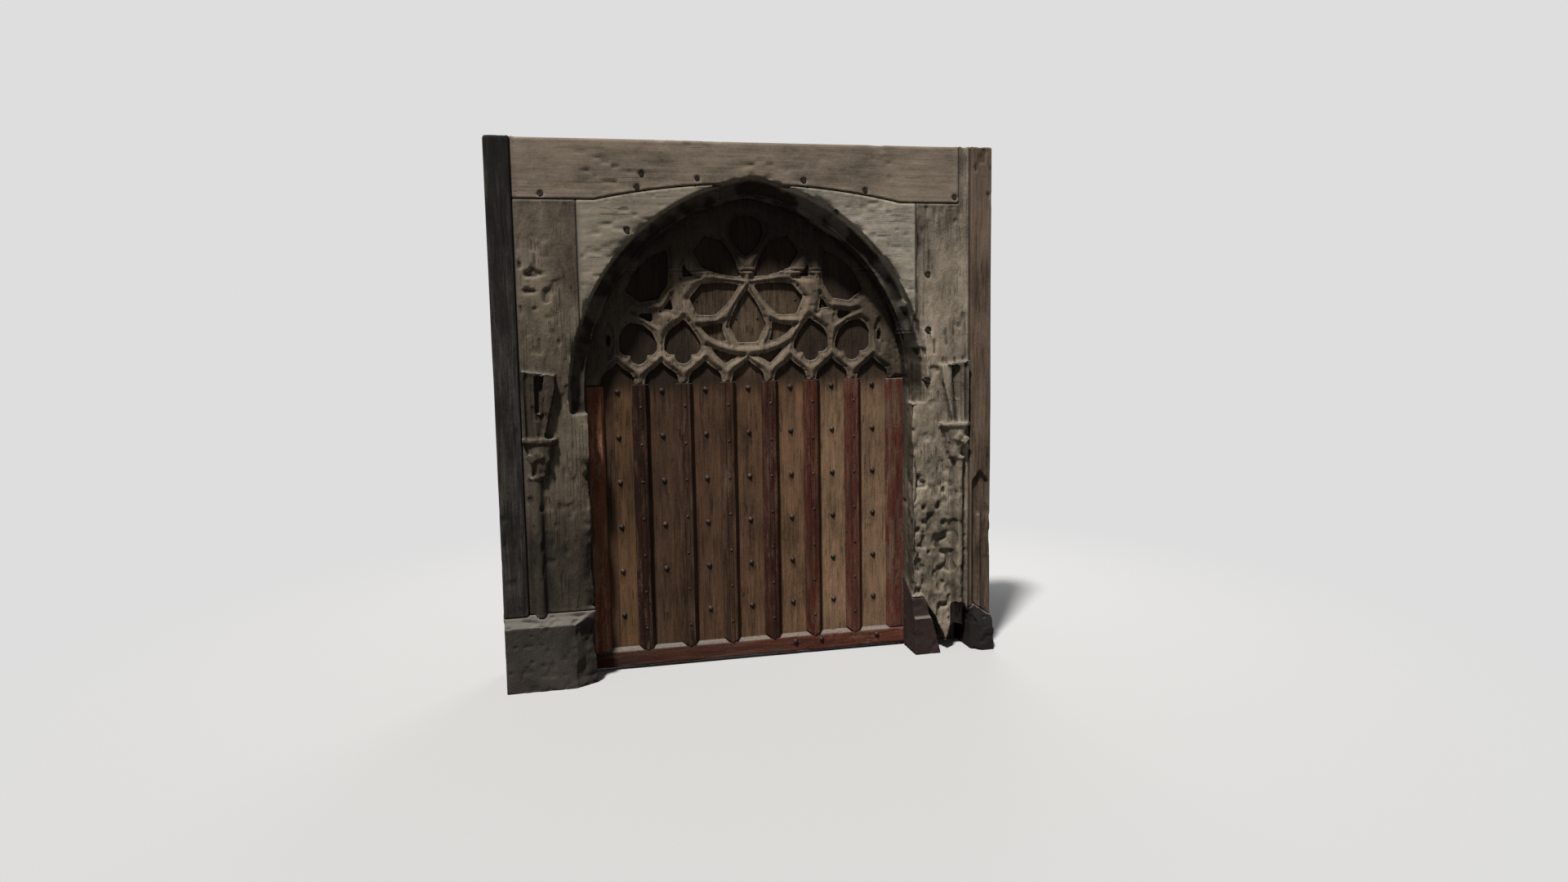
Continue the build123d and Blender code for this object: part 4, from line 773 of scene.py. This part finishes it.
worn("left_plinth", "frame", left_stone, timber_voxel, stone_wear(20, 0.022),
     ("left_jamb", "left_post"), smooth=3)
worn("right_inner_plinth", "frame", inner_stone, timber_voxel, stone_wear(21),
     ("right_jamb",))
worn("right_outer_plinth", "frame", outer_stone, timber_voxel, stone_wear(22),
     ("right_post",))
tracery = ("tracery_lower", "tracery_upper")
for seed, node, neighbour in zip((30, 31), tracery, reversed(tracery)):
    worn(node, "leaf", tracery_oak, fine_voxel, carving_wear(seed), (neighbour,),
         head_painted_shade, shape=rounded_bars(node))
worn("left_stile", "leaf", left_stile_red, leaf_timber_voxel,
     lambda p, out: timber(p, 32, "Z", 0.2, 0.003))
worn("right_stile", "leaf", right_stile_red, leaf_timber_voxel,
     lambda p, out: timber(p, 33, "Z", 0.2, 0.003))
worn("bottom_rail", "leaf", rail_red, leaf_timber_voxel,
     lambda p, out: timber(p, 34, "X", 0.2, 0.003))


# Light: a high soft lamp from the upper left, and a weak one for the back


def lamp(name, kind, place, target, energy, **settings):
    light = bpy.data.lights.new(name, kind)
    light.energy = energy
    for key, value in settings.items():
        setattr(light, key, value)
    holder = bpy.data.objects.new(name, light)
    bpy.context.scene.collection.objects.link(holder)
    holder.location = place
    holder.rotation_mode = "QUATERNION"
    holder.rotation_quaternion = (Vector(target) - Vector(place)).to_track_quat("-Z", "Y")


middle = (0, 0, 1.2)
lamp("key", "SUN", (-1.6, -2.2, 6.4), middle, 6.0, angle=math.radians(5), color=(1.0, 0.98, 0.95))
lamp("back", "AREA", (2.5, 5.5, 3.5), middle, 160, size=3.0)

# Floor that fades out into the backdrop. Its pale tone is for the camera alone, and the light that
# it throws back on the door is weaker.
floor_half = 9
floor_mesh = bpy.data.meshes.new("floor")
corners = [(x * floor_half, y * floor_half, 0) for x, y in ((-1, -1), (1, -1), (1, 1), (-1, 1))]
floor_mesh.from_pydata(corners, [], [(0, 1, 2, 3)])
floor = bpy.data.objects.new("floor", floor_mesh)
bpy.context.scene.collection.objects.link(floor)
ground = Nodes("pale_floor")
ground.shader.inputs["Base Color"].default_value = (0.388, 0.388, 0.388, 1)
ground.shader.inputs["Roughness"].default_value = 1.0
ground.shader.inputs["Specular IOR Level"].default_value = 0.0
bounce = ground.add("ShaderNodeBsdfDiffuse")
bounce.inputs["Color"].default_value = (0.14, 0.14, 0.14, 1)
tone = ground.add("ShaderNodeMixShader")
ground.link(ground.add("ShaderNodeLightPath"), "Is Camera Ray", tone, 0)
ground.link(bounce, 0, tone, 1)
ground.link(ground.shader, 0, tone, 2)
far = ground.add("ShaderNodeVectorMath", operation="LENGTH")
ground.link(ground.place, "Object", far, 0)
fade = ground.add("ShaderNodeMixShader")
ground.put(ground.range((far, "Value"), 1.6, 4.2), fade, 0)
ground.link(tone, 0, fade, 1)
ground.link(ground.add("ShaderNodeBsdfTransparent"), 0, fade, 2)
ground.link(fade, 0, ground.out, "Surface")
floor_mesh.materials.append(ground.material)

# World: an even backdrop for the camera, and weaker light from all sides for the door
world = bpy.data.worlds.new("studio")
bpy.context.scene.world = world
world.use_nodes = True
tree = world.node_tree
tree.nodes.clear()
sky = tree.nodes.new("ShaderNodeBackground")
sky.inputs["Color"].default_value = (0.73, 0.73, 0.73, 1)
sky.inputs["Strength"].default_value = 1.0
ambient = tree.nodes.new("ShaderNodeBackground")
ambient.inputs["Color"].default_value = (0.97, 0.98, 1.0, 1)
ambient.inputs["Strength"].default_value = 0.17
chooser = tree.nodes.new("ShaderNodeMixShader")
path = tree.nodes.new("ShaderNodeLightPath")
output = tree.nodes.new("ShaderNodeOutputWorld")
tree.links.new(path.outputs["Is Camera Ray"], chooser.inputs[0])
tree.links.new(ambient.outputs[0], chooser.inputs[1])
tree.links.new(sky.outputs[0], chooser.inputs[2])
tree.links.new(chooser.outputs[0], output.inputs["Surface"])

# Camera at the photo's viewing angle, recovered from the outlines of the frame, arch and leaf
azimuth, elevation, roll = math.radians(13.68), math.radians(-6.34), math.radians(-0.93)
level = math.cos(elevation)
looking = Vector((math.sin(azimuth) * level, math.cos(azimuth) * level, math.sin(elevation)))
camera_data = bpy.data.cameras.new("camera")
camera_data.sensor_width = 36
camera_data.lens = 24.444
camera_data.clip_end = 200
camera = bpy.data.objects.new("camera", camera_data)
bpy.context.scene.collection.objects.link(camera)
camera.location = (-1.0563, -4.9904, 1.6524)
camera.rotation_mode = "QUATERNION"
camera.rotation_quaternion = looking.to_track_quat("-Z", "Y") @ Quaternion((0, 0, 1), roll)
bpy.context.scene.camera = camera
bpy.context.scene.view_settings.view_transform = "Standard"
